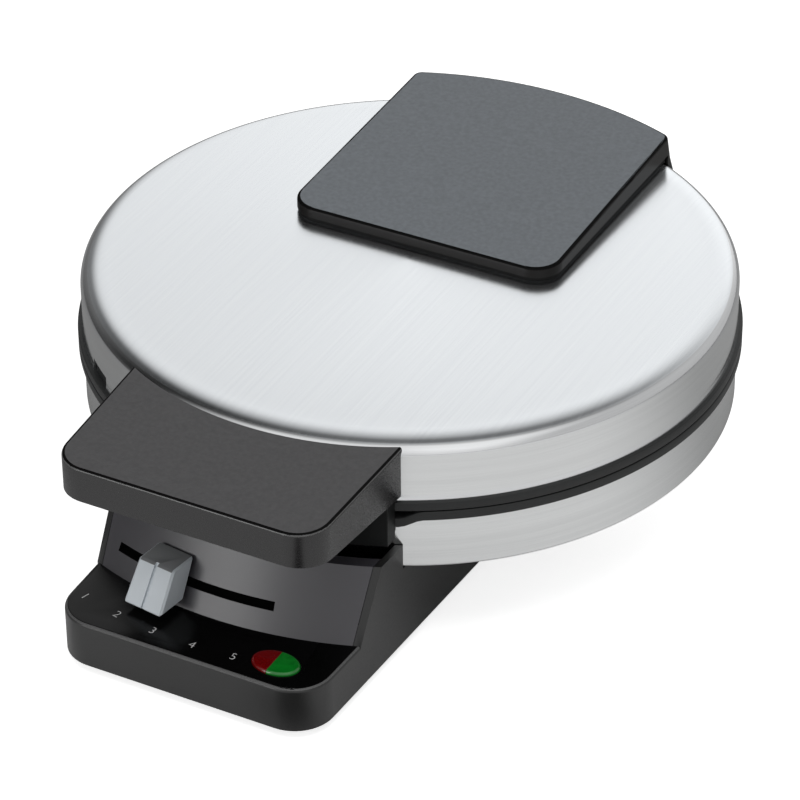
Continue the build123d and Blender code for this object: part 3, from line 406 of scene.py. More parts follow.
@dataclass(frozen=True)
class Palette:
    """Every finish of the waffle maker, made once."""

    lid_top: BrushedSteel = BrushedSteel(
        "lid_top_steel", Lay.ALONG, (0.915, 0.945, 0.975), (0.17, 0.23), streak=0.035,
    )
    wall_steel: BrushedSteel = BrushedSteel(
        "wall_steel", Lay.AROUND, (0.78, 0.79, 0.79), (0.12, 0.18), anisotropy=0.2,
    )
    drawn_steel: BrushedSteel = BrushedSteel(
        "drawn_edge_steel", Lay.AROUND, (0.80, 0.81, 0.82), (0.14, 0.2), anisotropy=0.0,
    )
    base_plastic: MouldedPlastic = MouldedPlastic(
        "base_plastic", (0.013, 0.013, 0.013), (0.3, 0.4), specular=0.6,
    )
    ledge_plastic: MouldedPlastic = MouldedPlastic(
        "ledge_plastic", (0.002, 0.002, 0.002), (0.16, 0.22), relief=0.000002, specular=0.28,
    )
    fascia_plastic: MouldedPlastic = MouldedPlastic(
        "fascia_plastic", (0.040, 0.038, 0.045), (0.3, 0.36), specular=0.78,
    )
    # painted light and shade: the handle's top takes a lighter copy and its sides a darker copy of one black
    # plastic; the top's grain is real
    handle_top: MouldedPlastic = MouldedPlastic(
        "handle_top_plastic", (0.066, 0.065, 0.067), (0.45, 0.55), relief=0.00002,
        specular=0.4, mottle=700.0, fleck=0.1,
    )
    handle_side: MouldedPlastic = MouldedPlastic(
        "handle_side_plastic", (0.013, 0.0125, 0.013), (0.22, 0.3), specular=0.6,
    )
    skirt_plastic: MouldedPlastic = MouldedPlastic(
        "skirt_plastic", (0.005, 0.0055, 0.0055), (0.34, 0.42), specular=0.15,
    )
    # painted light and shade: the hinge cover's top takes a lighter copy and its sides a darker copy of one
    # plastic; the top's grain is real
    cover_top: MouldedPlastic = MouldedPlastic(
        "cover_top_plastic", (0.156, 0.170, 0.184), (0.5, 0.6), relief=0.00002, specular=0.3,
        mottle=700.0, fleck=0.1,
    )
    cover_side: MouldedPlastic = MouldedPlastic(
        "cover_side_plastic", (0.010, 0.009, 0.0085), (0.3, 0.38), relief=0.000004,
        specular=0.2,
    )
    trim_plastic: MouldedPlastic = MouldedPlastic(
        "trim_plastic", (0.022, 0.023, 0.023), (0.36, 0.44), specular=0.3,
    )
    knob_plastic: MouldedPlastic = MouldedPlastic(
        "knob_plastic", (0.62, 0.665, 0.70), (0.34, 0.44), specular=0.3,
    )
    # painted shade: a darker copy of the knob's plastic for its top faces, standing in for the shade under
    # the handle
    knob_crown: MouldedPlastic = MouldedPlastic(
        "knob_crown_plastic", (0.25, 0.257, 0.263), (0.3, 0.4), specular=0.3,
    )
    # painted highlight: a lighter copy of the black plastic on the rounded edges of the ledge and the handle
    edge_plastic: MouldedPlastic = MouldedPlastic(
        "worn_edge_plastic", (0.085, 0.085, 0.085), (0.24, 0.32), relief=0.000002,
    )
    # painted shadow: near-black for the outline lines on the handle's and cover's roundings and for the
    # inside of the fascia's slot
    gap_plastic: MouldedPlastic = MouldedPlastic(
        "shadow_gap_plastic", (0.0015, 0.0015, 0.0015), (0.6, 0.7), specular=0.1,
    )
    pad_rubber: MouldedPlastic = MouldedPlastic(
        "pad_rubber", (0.006, 0.006, 0.006), (0.6, 0.75), specular=0.2,
    )
    foot_rubber: MouldedPlastic = MouldedPlastic(
        "foot_rubber", (0.02, 0.02, 0.02), (0.65, 0.8), specular=0.2,
    )
    terminal_plastic: MouldedPlastic = MouldedPlastic("terminal_plastic", (0.6, 0.59, 0.55))
    board_laminate: MouldedPlastic = MouldedPlastic("board_laminate", (0.03, 0.16, 0.06), (0.25, 0.35))
    grid_coating: PlainMetal = PlainMetal("grid_coating", (0.022, 0.022, 0.023), (0.3, 0.42), 0.0)
    element_steel: PlainMetal = PlainMetal("element_steel", (0.22, 0.21, 0.2), (0.4, 0.55))
    reflector_sheet: PlainMetal = PlainMetal("reflector_sheet", (0.75, 0.75, 0.76), (0.2, 0.3))
    black_oxide: PlainMetal = PlainMetal("black_oxide", (0.006, 0.006, 0.006), (0.5, 0.6), 0.0)
    zinc_plate: PlainMetal = PlainMetal("zinc_plate", (0.55, 0.56, 0.58), (0.28, 0.4))
    brass: PlainMetal = PlainMetal("brass_sheet", (0.72, 0.56, 0.25))
    ceramic: PlainMetal = PlainMetal("white_ceramic", (0.78, 0.76, 0.7), (0.3, 0.45), 0.0)
    red_lens: LensPlastic = LensPlastic("red_lens_plastic", (0.10, 0.0015, 0.002), (0.25, 0.0, 0.0))
    green_lens: LensPlastic = LensPlastic("green_lens_plastic", (0.004, 0.13, 0.012), (0.0, 0.3, 0.02))
    numeral_ink: Ink = Ink("numeral_ink", (0.75, 0.75, 0.75))


# Mesh builders


def linked(mesh: bpy.types.Mesh) -> bpy.types.Object:
    """Object of a mesh, linked to the scene under the mesh's name.

    Args:
        mesh: the mesh.

    Returns:
        The new object.
    """
    piece = bpy.data.objects.new(mesh.name, mesh)
    bpy.context.collection.objects.link(piece)
    return piece


def smoothed(piece: bpy.types.Object, angle: float = 32.0) -> bpy.types.Object:
    """Shades a piece smooth and leaves its sharp edges crisp.

    Args:
        piece: the object.
        angle: edges sharper than this stay crisp, in degrees.

    Returns:
        The same object.
    """
    piece.data.shade_smooth()
    piece.data.set_sharp_from_angle(angle=math.radians(angle))
    return piece


def baked(piece: bpy.types.Object) -> bpy.types.Object:
    """Applies a piece's modifiers into a plain mesh and removes them.

    Args:
        piece: the object, at the origin.

    Returns:
        The same object with its evaluated mesh.
    """
    graph = bpy.context.evaluated_depsgraph_get()
    mesh = bpy.data.meshes.new_from_object(piece.evaluated_get(graph), depsgraph=graph)
    mesh.name = piece.name
    piece.modifiers.clear()
    piece.data = mesh
    return piece


def softened(piece: bpy.types.Object, width: float, segments: int = 2,
             angle: float = 32.0) -> bpy.types.Object:
    """Rounds the sharp edges of a piece.

    Args:
        piece: the object, at the origin.
        width: width of the rounding in millimetres.
        segments: faces across the rounding.
        angle: edges sharper than this are rounded, in degrees.

    Returns:
        The same object.
    """
    bevel = piece.modifiers.new("rounding", "BEVEL")
    bevel.width = width * MM
    bevel.segments = segments
    bevel.limit_method = "ANGLE"
    bevel.angle_limit = math.radians(angle)
    bevel.harden_normals = True
    bevel.miter_outer = "MITER_ARC"
    return baked(smoothed(piece, angle))


def copied(node: str, name: str, joined: bool = True) -> bpy.types.Object:
    """Merged copy of a CAD node's mesh, ready for softer edges.

    Args:
        node: name of the CAD node.
        name: name of the new piece.
        joined: whether faces that lie flat beside each other become one.

    Returns:
        The new piece.
    """
    mesh = bpy.data.meshes.new(name)
    shape = bmesh.new()
    shape.from_mesh(FRAME["nodes"][node].data)
    bmesh.ops.remove_doubles(shape, verts=shape.verts, dist=MERGE_M)
    if joined:
        flat = math.radians(FLAT_DEGREES)
        bmesh.ops.dissolve_limit(shape, angle_limit=flat, verts=shape.verts, edges=shape.edges)
    shape.to_mesh(mesh)
    shape.free()
    mesh.materials.clear()
    return linked(mesh)


def painted(piece: bpy.types.Object, *finishes: bpy.types.Material,
            choose: Optional[Callable[[bpy.types.MeshPolygon], int]] = None) -> bpy.types.Object:
    """Gives a piece its finishes, one for all faces or chosen face by face.

    Args:
        piece: the object.
        finishes: its materials, in the order of their slots.
        choose: slot of each face; the first slot for all when it is left out.

    Returns:
        The same object.
    """
    slots = [choose(face) if choose else 0 for face in piece.data.polygons]
    piece.data.materials.clear()
    for finish in finishes:
        piece.data.materials.append(finish)
    for face, slot in zip(piece.data.polygons, slots):
        face.material_index = slot
    return piece


def crest(piece: bpy.types.Object) -> Vector:
    """Way that the largest upward face of a piece looks."""
    return max((f for f in piece.data.polygons if f.normal.z > 0.9), key=lambda f: f.area).normal.copy()


def seated(piece: bpy.types.Object, body: Body, slot: str, *nodes: str) -> bpy.types.Object:
    """Lets a piece ride its body and stand for CAD nodes.

    Args:
        piece: the object.
        body: body that it rides on.
        slot: material slot of the record; not used.
        nodes: CAD nodes that it replaces.

    Returns:
        The same object.
    """
    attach(piece, body.value)
    if nodes:
        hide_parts(*nodes)
    LOG.info("piece %s on %s: %d faces", piece.name, body.value, len(piece.data.polygons))
    return piece


class Tree:
    """Short hand for a Geometry Nodes tree with named inputs."""

    def __init__(self, name: str, inputs: dict[str, str]) -> None:
        """Starts a tree.

        Args:
            name: name of the tree.
            inputs: socket type of each named input.
        """
        self.group = bpy.data.node_groups.new(name, "GeometryNodeTree")
        self.group.interface.new_socket("Geometry", in_out="INPUT", socket_type="NodeSocketGeometry")
        self.identifiers = {
            label: self.group.interface.new_socket(label, in_out="INPUT", socket_type=kind).identifier
            for label, kind in inputs.items()
        }
        self.group.interface.new_socket("Geometry", in_out="OUTPUT", socket_type="NodeSocketGeometry")
        self.source = self.group.nodes.new("NodeGroupInput")
        self.result = self.group.nodes.new("NodeGroupOutput")

    def add(self, kind: str, **settings: object) -> bpy.types.Node:
        """Adds a node and sets its own properties.

        Args:
            kind: the node's type name.
            settings: properties of the node.

        Returns:
            The new node.
        """
        node = self.group.nodes.new(kind)
        for name, value in settings.items():
            setattr(node, name, value)
        return node

    def link(self, source: bpy.types.NodeSocket, target: bpy.types.NodeSocket) -> None:
        """Wires one socket to another."""
        self.group.links.new(source, target)

    def math(self, operation: str, first: object, second: object = 0.0) -> bpy.types.NodeSocket:
        """Sum, product or the like of two sockets or numbers.

        Args:
            operation: name of the operation.
            first: first socket or number.
            second: second socket or number.

        Returns:
            The result.
        """
        node = self.add("ShaderNodeMath", operation=operation)
        for place, value in enumerate((first, second)):
            if isinstance(value, bpy.types.NodeSocket):
                self.link(value, node.inputs[place])
            else:
                node.inputs[place].default_value = value
        return node.outputs["Value"]

    def grow(self, piece: bpy.types.Object, values: dict[str, object]) -> bpy.types.Object:
        """Runs the tree on a piece and bakes the result.

        Args:
            piece: object whose mesh feeds the tree.
            values: value of each named input.

        Returns:
            The same object with a plain mesh.
        """
        modifier = piece.modifiers.new(self.group.name, "NODES")
        modifier.node_group = self.group
        for label, value in values.items():
            modifier[self.identifiers[label]] = value
        piece.update_tag()
        return baked(piece)


def spinning_tree() -> Tree:
    """Tree that turns a profile round the plates' axis and may dip its front.

    Returns:
        The tree; its profile lies in XY with X as radius and -Y as height.
    """
    tree = Tree("spun_form", {
        "Segments": "NodeSocketInt",
        "Axis": "NodeSocketVector",
        "Dip": "NodeSocketFloat",
        "Dip from height": "NodeSocketFloat",
        "Dip half angle": "NodeSocketFloat",
        "Dip ramp": "NodeSocketFloat",
        "Finish": "NodeSocketMaterial",
    })
    given = tree.source.outputs
    profile = tree.add("GeometryNodeMeshToCurve")
    tree.link(given["Geometry"], profile.inputs["Mesh"])
    path = tree.add("GeometryNodeCurvePrimitiveCircle")
    path.inputs["Radius"].default_value = 1e-5
    tree.link(given["Segments"], path.inputs["Resolution"])
    sweep = tree.add("GeometryNodeCurveToMesh")
    tree.link(path.outputs["Curve"], sweep.inputs["Curve"])
    tree.link(profile.outputs["Curve"], sweep.inputs["Profile Curve"])
    merge = tree.add("GeometryNodeMergeByDistance")
    merge.inputs["Distance"].default_value = 3e-5
    tree.link(sweep.outputs["Mesh"], merge.inputs["Geometry"])
    # Height taken off where the front dips
    place = tree.add("GeometryNodeInputPosition")
    parts = tree.add("ShaderNodeSeparateXYZ")
    tree.link(place.outputs["Position"], parts.inputs["Vector"])
    turn = tree.math("ARCTAN2", parts.outputs["X"], tree.math("MULTIPLY", parts.outputs["Y"], -1.0))
    off_front = tree.math("ABSOLUTE", turn)
    ramp_end = tree.math("ADD", given["Dip half angle"], given["Dip ramp"])
    share = tree.add("ShaderNodeMapRange", interpolation_type="SMOOTHSTEP")
    tree.link(off_front, share.inputs["Value"])
    tree.link(given["Dip half angle"], share.inputs["From Min"])
    tree.link(ramp_end, share.inputs["From Max"])
    share.inputs["To Min"].default_value = -1.0
    share.inputs["To Max"].default_value = 0.0
    high = tree.math("GREATER_THAN", parts.outputs["Z"], given["Dip from height"])
    drop = tree.math("MULTIPLY", tree.math("MULTIPLY", share.outputs["Result"], given["Dip"]), high)
    offset = tree.add("ShaderNodeCombineXYZ")
    tree.link(drop, offset.inputs["Z"])
    dipped = tree.add("GeometryNodeSetPosition")
    tree.link(merge.outputs["Geometry"], dipped.inputs["Geometry"])
    tree.link(offset.outputs["Vector"], dipped.inputs["Offset"])
    moved = tree.add("GeometryNodeTransform")
    tree.link(dipped.outputs["Geometry"], moved.inputs["Geometry"])
    tree.link(given["Axis"], moved.inputs["Translation"])
    real = tree.add("GeometryNodeRealizeInstances")
    tree.link(moved.outputs["Geometry"], real.inputs["Geometry"])
    finish = tree.add("GeometryNodeSetMaterial")
    tree.link(real.outputs["Geometry"], finish.inputs["Geometry"])
    tree.link(given["Finish"], finish.inputs["Material"])
    tree.link(finish.outputs["Geometry"], tree.result.inputs["Geometry"])
    return tree


def profile_mesh(name: str, points: Sequence[Point], closed: bool) -> bpy.types.Object:
    """Chain of edges through the points of a profile.

    Args:
        name: name of the object.
        points: (radius, height) points in millimetres.
        closed: whether the chain returns to its first point.

    Returns:
        The new object.
    """
    mesh = bpy.data.meshes.new(name)
    ends = [(i, i + 1) for i in range(len(points) - 1)]
    if closed:
        ends.append((len(points) - 1, 0))
    mesh.from_pydata([(r * MM, -z * MM, 0) for r, z in points], ends, [])
    return linked(mesh)


def rounded(points: Sequence[Point], radius: float, steps: int = 3) -> list[Point]:
    """Closed profile with its corners rounded.

    Args:
        points: corners in order.
        radius: radius of the rounding, limited by the shorter side.
        steps: points added along each rounding.

    Returns:
        The new points.
    """
    made: list[Point] = []
    count = len(points)
    for i, corner in enumerate(points):
        here = Vector(corner)
        before = Vector(points[i - 1]) - here
        after = Vector(points[(i + 1) % count]) - here
        reach = min(radius, before.length * 0.45, after.length * 0.45)
        start = here + before.normalized() * reach
        end = here + after.normalized() * reach
        for k in range(steps + 1):
            t = k / steps
            spot = start * (1 - t) ** 2 + here * 2 * t * (1 - t) + end * t * t
            made.append((spot.x, spot.y))
    return made


@dataclass
class Spinner:
    """Makes round pieces from their profiles with the spinning tree."""

    segments: int = 360
    tree: Tree = field(default_factory=spinning_tree)

    def spin(self, name: str, points: Sequence[Point], finish: bpy.types.Material,
             closed: bool = True, dip: float = 0.0, dip_from: float = 0.0,
             dip_half: float = 26.0, dip_ramp: float = 4.0) -> bpy.types.Object:
        """Turns a profile into a round piece.

        Args:
            name: name of the piece.
            points: (radius, height) points in millimetres.
            finish: material of all faces.
            closed: whether the profile returns to its first point.
            dip: height taken off at the front in millimetres.
            dip_from: height above which the dip acts, in millimetres.
            dip_half: half angle of the dip in degrees.
            dip_ramp: angle over which it runs out, in degrees.

        Returns:
            The new piece.
        """
        piece = self.tree.grow(profile_mesh(name, points, closed), {
            "Segments": self.segments,
            "Axis": (0.0, AXIS_Y * MM, 0.0),
            "Dip": dip * MM,
            "Dip from height": dip_from * MM,
            "Dip half angle": math.radians(dip_half),
            "Dip ramp": math.radians(dip_ramp),
            "Finish": finish,
        })
        shape = bmesh.new()
        shape.from_mesh(piece.data)
        bmesh.ops.recalc_face_normals(shape, faces=shape.faces)
        shape.to_mesh(piece.data)
        shape.free()
        return smoothed(piece)


# Sub-assemblies


@dataclass
class SteelShells:
    """Brushed lid skin and lower pan with their plastic trim rings."""

    finishes: dict[str, bpy.types.Material]
    spinner: Spinner
    radius: float = 96.9
    sheet: float = 0.8
    lid_top: float = 70.95
    crown: float = 0.5
    shoulder: float = 3.8
    shoulder_power: float = 2.9
    shoulder_steps: int = 26
    lid_foot: float = 52.5
    pan_foot: float = 29.0
    pan_round: float = 1.5
    ring_radius: float = 98.4
    ring_top: float = 49.2
    ring_foot: float = 46.2
    plate_seat: float = 91.8
    shelf: float = 88.8
    skirt_outer: float = 95.95
    skirt_inner: float = 94.05
    skirt_drop: float = 4.2
    flange: float = 1.6
    flare: float = 0.35
    flare_height: float = 1.9
    dip: float = 2.2
    dip_from: float = 42.0
    notch_angle: float = -129.7
    notch_half: float = 3.2
    notch_height: float = 4.2
    tab_gap: float = 0.7
    tab_steps: int = 8

    def shoulder_path(self) -> list[tuple[float, float, float]]:
        """Rounding of the lid's rim, flat at first and tighter towards the wall.

        Returns:
            Reach and drop of each point from the crown's edge, and the turn of the surface there.
        """
        steps = self.shoulder_steps
        turns = [math.pi / 2 * (k / steps) ** self.shoulder_power for k in range(steps + 1)]
        path = [(0.0, 0.0, 0.0)]
        for before, after in zip(turns, turns[1:]):
            middle = (before + after) / 2
            path.append((path[-1][0] + math.cos(middle), path[-1][1] + math.sin(middle), after))
        scale = self.shoulder / path[-1][1]
        return [(reach * scale, drop * scale, turn) for reach, drop, turn in path]

    def lid_profile(self) -> list[Point]:
        """Outside and inside of the lid's sheet, from the middle out and back.

        Returns:
            The profile's points.
        """
        edge = self.lid_top - self.crown
        path = self.shoulder_path()
        start = self.radius - path[-1][0]
        outside = [(start * k / 24, edge + self.crown * (1 - (k / 24) ** 2)) for k in range(24)]
        outside += [(start + reach, edge - drop) for reach, drop, _ in path]
        outside += [(self.radius, self.lid_foot + 8), (self.radius, self.lid_foot + self.flare_height)]
        outside += [
            (self.radius + self.flare * (k / 5) ** 1.5, self.lid_foot + self.flare_height * (1 - k / 5))
            for k in range(1, 6)
        ]
        inner = self.radius - self.sheet
        inside = [(inner, self.lid_foot), (inner, self.lid_foot + 8)]
        inside += [
            (start + reach - self.sheet * math.sin(turn), edge - drop - self.sheet * math.cos(turn))
            for reach, drop, turn in reversed(path)
        ]
        inside += [
            (start * k / 6, edge + self.crown * (1 - (k / 6) ** 2) - self.sheet)
            for k in range(5, -1, -1)
        ]
        return outside + inside

    def pan_profile(self) -> list[Point]:
        """Closed profile of the lower pan's sheet.

        Returns:
            The profile's points.
        """
        low, top, hole = self.pan_foot, self.ring_foot, 4.7
        corner = self.radius - self.pan_round
        outside = [(hole, low)] + [(hole + (corner - hole) * k / 8, low) for k in range(1, 8)]
        outside += [
            (corner + self.pan_round * math.sin(a), low + self.pan_round * (1 - math.cos(a)))
            for a in (math.radians(90 * k / 10) for k in range(11))
        ]
        outside += [(self.radius, 40.0), (self.radius, top)]
        inner = self.radius - self.sheet
        inner_round = self.pan_round - self.sheet
        inside = [(inner, top), (inner, 40.0)]
        inside += [
            (corner + inner_round * math.cos(a), low + self.pan_round - inner_round * math.sin(a))
            for a in (math.radians(90 * k / 5) for k in range(6))
        ]
        inside += [(hole, low + self.sheet)]
        return outside + inside

    def ring_profile(self) -> list[Point]:
        """Closed profile of the lower trim ring.

        Returns:
            The profile's points.
        """
        top, foot = self.ring_top, self.ring_foot
        return rounded([
            (self.ring_radius, foot), (self.ring_radius, top),
            (self.plate_seat, top), (self.plate_seat, top - self.flange),
            (self.shelf, top - self.flange), (self.shelf, foot),
            (self.skirt_inner, foot), (self.skirt_inner, foot - self.skirt_drop),
            (self.skirt_outer, foot - self.skirt_drop), (self.skirt_outer, foot),
        ], 0.5)

    def notch(self, lid: bpy.types.Object) -> bpy.types.Object:
        """Cuts the small notch in the lid's rim.

        Args:
            lid: the lid's skin.

        Returns:
            The same object.
        """
        angle = math.radians(self.notch_angle)
        half = self.radius * math.sin(math.radians(self.notch_half)) * MM
        out = Vector((math.cos(angle), math.sin(angle), 0))
        side = Vector((-out.y, out.x, 0))
        centre = Vector((0, AXIS_Y * MM, 0))
        shape = bmesh.new()
        corners = [
            shape.verts.new(centre + out * r * MM + side * s * half + Vector((0, 0, z * MM)))
            for r in (self.radius - 3, self.radius + 3)
            for s in (-1, 1)
            for z in (self.lid_foot - 3, self.lid_foot + self.notch_height)
        ]
        bmesh.ops.convex_hull(shape, input=corners)
        mesh = bpy.data.meshes.new("notch_cutter")
        shape.to_mesh(mesh)
        shape.free()
        cutter = linked(mesh)
        cut = lid.modifiers.new("notch", "BOOLEAN")
        cut.operation = "DIFFERENCE"
        cut.solver = "EXACT"
        cut.object = cutter
        baked(lid)
        bpy.data.objects.remove(cutter)
        return smoothed(lid)

    def lid_face(self, face: bpy.types.MeshPolygon) -> int:
        """Slot of a lid face by its slope.

        Args:
            face: a face of the lid's skin.

        Returns:
            0 for the crown, 1 for the wall, 2 for the rounding between.
        """
        if face.normal.z > 0.9:
            return 0
        return 2 if face.normal.z > 0.12 else 1

    def build(self) -> None:
        """Makes both shells and both rings."""
        made = self.finishes
        lid = self.notch(self.spinner.spin("lid_skin", self.lid_profile(), made["wall_steel"], closed=False))
        painted(lid, made["lid_top"], made["wall_steel"], made["drawn_steel"], choose=self.lid_face)
        seated(lid, Body.LID, "shell_steel", "lid_shell")
        pan = self.spinner.spin(
            "lower_pan", self.pan_profile(), made["wall_steel"], dip=self.dip, dip_from=self.dip_from
        )
        seated(pan, Body.BASE, "shell_steel", "lower_shell")
        ring = self.ring_profile()
        lower = self.spinner.spin("lower_trim", ring, made["trim_plastic"], dip=self.dip)
        seated(lower, Body.BASE, "ring_plastic", "lower_ring")
        turned = [(r, 2 * PARTING_Z - z) for r, z in ring]
        upper = self.spinner.spin("upper_trim", turned, made["trim_plastic"])
        self.add_tab(upper)
        seated(upper, Body.LID, "ring_plastic", "upper_ring")

    def add_tab(self, ring: bpy.types.Object) -> None:
        """Adds the snap tab that shows in the lid's notch.

        Args:
            ring: the upper trim ring.
        """
        shape = bmesh.new()
        shape.from_mesh(ring.data)
        tip = self.lid_foot + self.notch_height - self.tab_gap
        section = [
            (self.skirt_inner, self.lid_foot - 0.3), (self.radius - self.tab_gap, self.lid_foot - 0.3),
            (self.radius - self.tab_gap, tip - 0.3), (self.radius - self.tab_gap - 0.3, tip),
            (self.skirt_inner, tip),
        ]
        rows = []
        for k in range(self.tab_steps + 1):
            angle = math.radians(self.notch_angle + (2 * k / self.tab_steps - 1) * (self.notch_half - 0.18))
            rows.append([
                shape.verts.new((r * math.cos(angle) * MM, (AXIS_Y + r * math.sin(angle)) * MM, z * MM))
                for r, z in section
            ])
        made = [shape.faces.new(rows[0]), shape.faces.new(rows[-1])]
        for near, far in zip(rows, rows[1:]):
            for i in range(len(section)):
                j = (i + 1) % len(section)
                made.append(shape.faces.new((near[i], near[j], far[j], far[i])))
        bmesh.ops.recalc_face_normals(shape, faces=made)
        shape.to_mesh(ring.data)
        shape.free()
        smoothed(ring)


@dataclass
class Mouldings:
    """Handle, skirt, hinge cover, housing and fascia with softened edges."""

    finishes: dict[str, bpy.types.Material]
    ledge_z: float = 17.3
    ledge_rear: float = -103.0
    edge: float = 0.6
    slot_z: float = 24.2
    slot_half: float = 1.35
    knob_slope: float = 0.8

    def housing_face(self, face: bpy.types.MeshPolygon) -> int:
        """Slot of a housing face by its place and slope.

        Args:
            face: a face of the housing.

        Returns:
            1 for the glossier top of the ledge, 2 for its rounded edge with a painted highlight, 0
            elsewhere.
        """
        near = abs(face.center.z / MM - self.ledge_z) < 0.4 and face.center.y / MM < self.ledge_rear + AXIS_Y
        if near and face.normal.z > 0.95:
            return 1
        return 2 if near and face.normal.z > 0.25 else 0

    def handle_face(self, up: Vector) -> Callable[[bpy.types.MeshPolygon], int]:
        """Chooser for the handle's faces.

        Args:
            up: way that the top looks.

        Returns:
            Function that gives 0 grained top in painted light, 1 side in painted shade, 2 painted shadow
            line or 3 painted edge highlight.
        """

        def slot(face: bpy.types.MeshPolygon) -> int:
            """Slot by the angle between the face and the top.

            Args:
                face: a face of the piece.

            Returns:
                The slot.
            """
            share = face.normal.dot(up)
            if share > 0.9995:
                return 0
            return 2 if share > 0.7 else 3 if share > 0.4 else 1

        return slot

    def cover_face(self, up: Vector) -> Callable[[bpy.types.MeshPolygon], int]:
        """Chooser for the hinge cover's faces.

        Args:
            up: way that the top looks.

        Returns:
            Function that gives 0 grained top in painted light, 1 side in painted shade or 2 painted shadow
            line.
        """

        def slot(face: bpy.types.MeshPolygon) -> int:
            """Slot by the angle between the face and the top.

            Args:
                face: a face of the piece.

            Returns:
                The slot.
            """
            share = face.normal.dot(up)
            if share > 0.995:
                return 0
            return 2 if share > 0.5 else 1

        return slot

    def fascia_face(self, face: bpy.types.MeshPolygon) -> int:
        """Slot of a fascia face by its place and the way that it looks.

        Args:
            face: a face of the fascia.

        Returns:
            1 inside the slider's slot, painted near-black as shade, 0 elsewhere.
        """
        out = Vector((face.center.x, face.center.y - AXIS_Y * MM, 0)).normalized()
        inside = abs(face.center.z / MM - self.slot_z) < self.slot_half and face.normal.dot(out) < 0.7
        return 1 if inside else 0

    def knob_face(self, face: bpy.types.MeshPolygon) -> int:
        """Slot of a knob face: 1 for its crown, painted darker as the shade under the handle."""
        return 1 if face.normal.z > self.knob_slope else 0

    def build(self) -> None:
        """Makes each moulding from its CAD node."""
        made = self.finishes
        housing = softened(copied("base_housing", "housing"), 0.35)
        # painted highlight: the ledge's rounded edge takes the lighter edge plastic
        shell = (made["base_plastic"], made["ledge_plastic"], made["edge_plastic"])
        painted(housing, *shell, choose=self.housing_face)
        seated(housing, Body.BASE, "housing_plastic", "base_housing")
        handle = softened(copied("handle", "front_handle"), self.edge, 4)
        # painted light and shade: top and side are lit and shaded copies of the handle's plastic, gap
        # carries its painted shadow lines
        top, side, gap = made["handle_top"], made["handle_side"], made["gap_plastic"]
        painted(handle, top, side, gap, made["edge_plastic"], choose=self.handle_face(crest(handle)))
        seated(handle, Body.LID, "handle_plastic", "handle")
        cover = softened(copied("hinge_cover", "rear_cover"), self.edge, 4)
        # painted light and shade: lighter top, darker sides and painted shadow lines on the cover
        painted(cover, made["cover_top"], made["cover_side"], gap, choose=self.cover_face(crest(cover)))
        seated(cover, Body.LID, "cover_plastic", "hinge_cover")
        fascia = smoothed(copied("control_fascia", "fascia", joined=False))
        # painted shadow: the inside of the slider's slot takes the near-black plastic
        painted(fascia, made["fascia_plastic"], gap, choose=self.fascia_face)
        seated(fascia, Body.BASE, "fascia_plastic", "control_fascia")
        knob = softened(copied("slider_knob", "knob"), 0.3, 3)
        # painted shade: the knob's up-facing faces take the darker copy
        painted(knob, made["knob_plastic"], made["knob_crown"], choose=self.knob_face)
        seated(knob, Body.SLIDER, "knob_plastic", "slider_knob")
        for node, name, body, slot, finish, width in (
            ("handle_skirt", "front_skirt", Body.LID, "skirt_plastic", "skirt_plastic", 0.4),
            ("hinge_cover_pad", "cover_pad", Body.LID, "pad_rubber", "pad_rubber", 0.1),
            ("bottom_cover", "underside", Body.BASE, "housing_plastic", "base_plastic", 0.25),
            ("feet", "rubber_feet", Body.BASE, "foot_rubber", "foot_rubber", 0.5),
            ("cord_cup", "outlet_cup", Body.BASE, "housing_plastic", "base_plastic", 0.25),
            ("cord_bush", "outlet_bush", Body.BASE, "bush_rubber", "pad_rubber", 0.4),
            ("hinge_bracket", "bracket", Body.LID, "bracket_steel", "zinc_plate", 0.2),
            ("hinge_pin", "pin", Body.BASE, "pin_steel", "zinc_plate", 0.2),
            ("red_lens", "red_half", Body.BASE, "red_lens", "red_lens", 0.1),
            ("green_lens", "green_half", Body.BASE, "green_lens", "green_lens", 0.1),
        ):
            piece = softened(copied(node, name), width)
            painted(piece, made[finish])
            seated(piece, body, slot, node)
        for node, name, body in (
            ("lower_grid_plate", "lower_grid", Body.BASE),
            ("upper_grid_plate", "upper_grid", Body.LID),
        ):
            piece = smoothed(copied(node, name, joined=False))
            painted(piece, made["grid_coating"])
            seated(piece, body, "grid_aluminium", node)


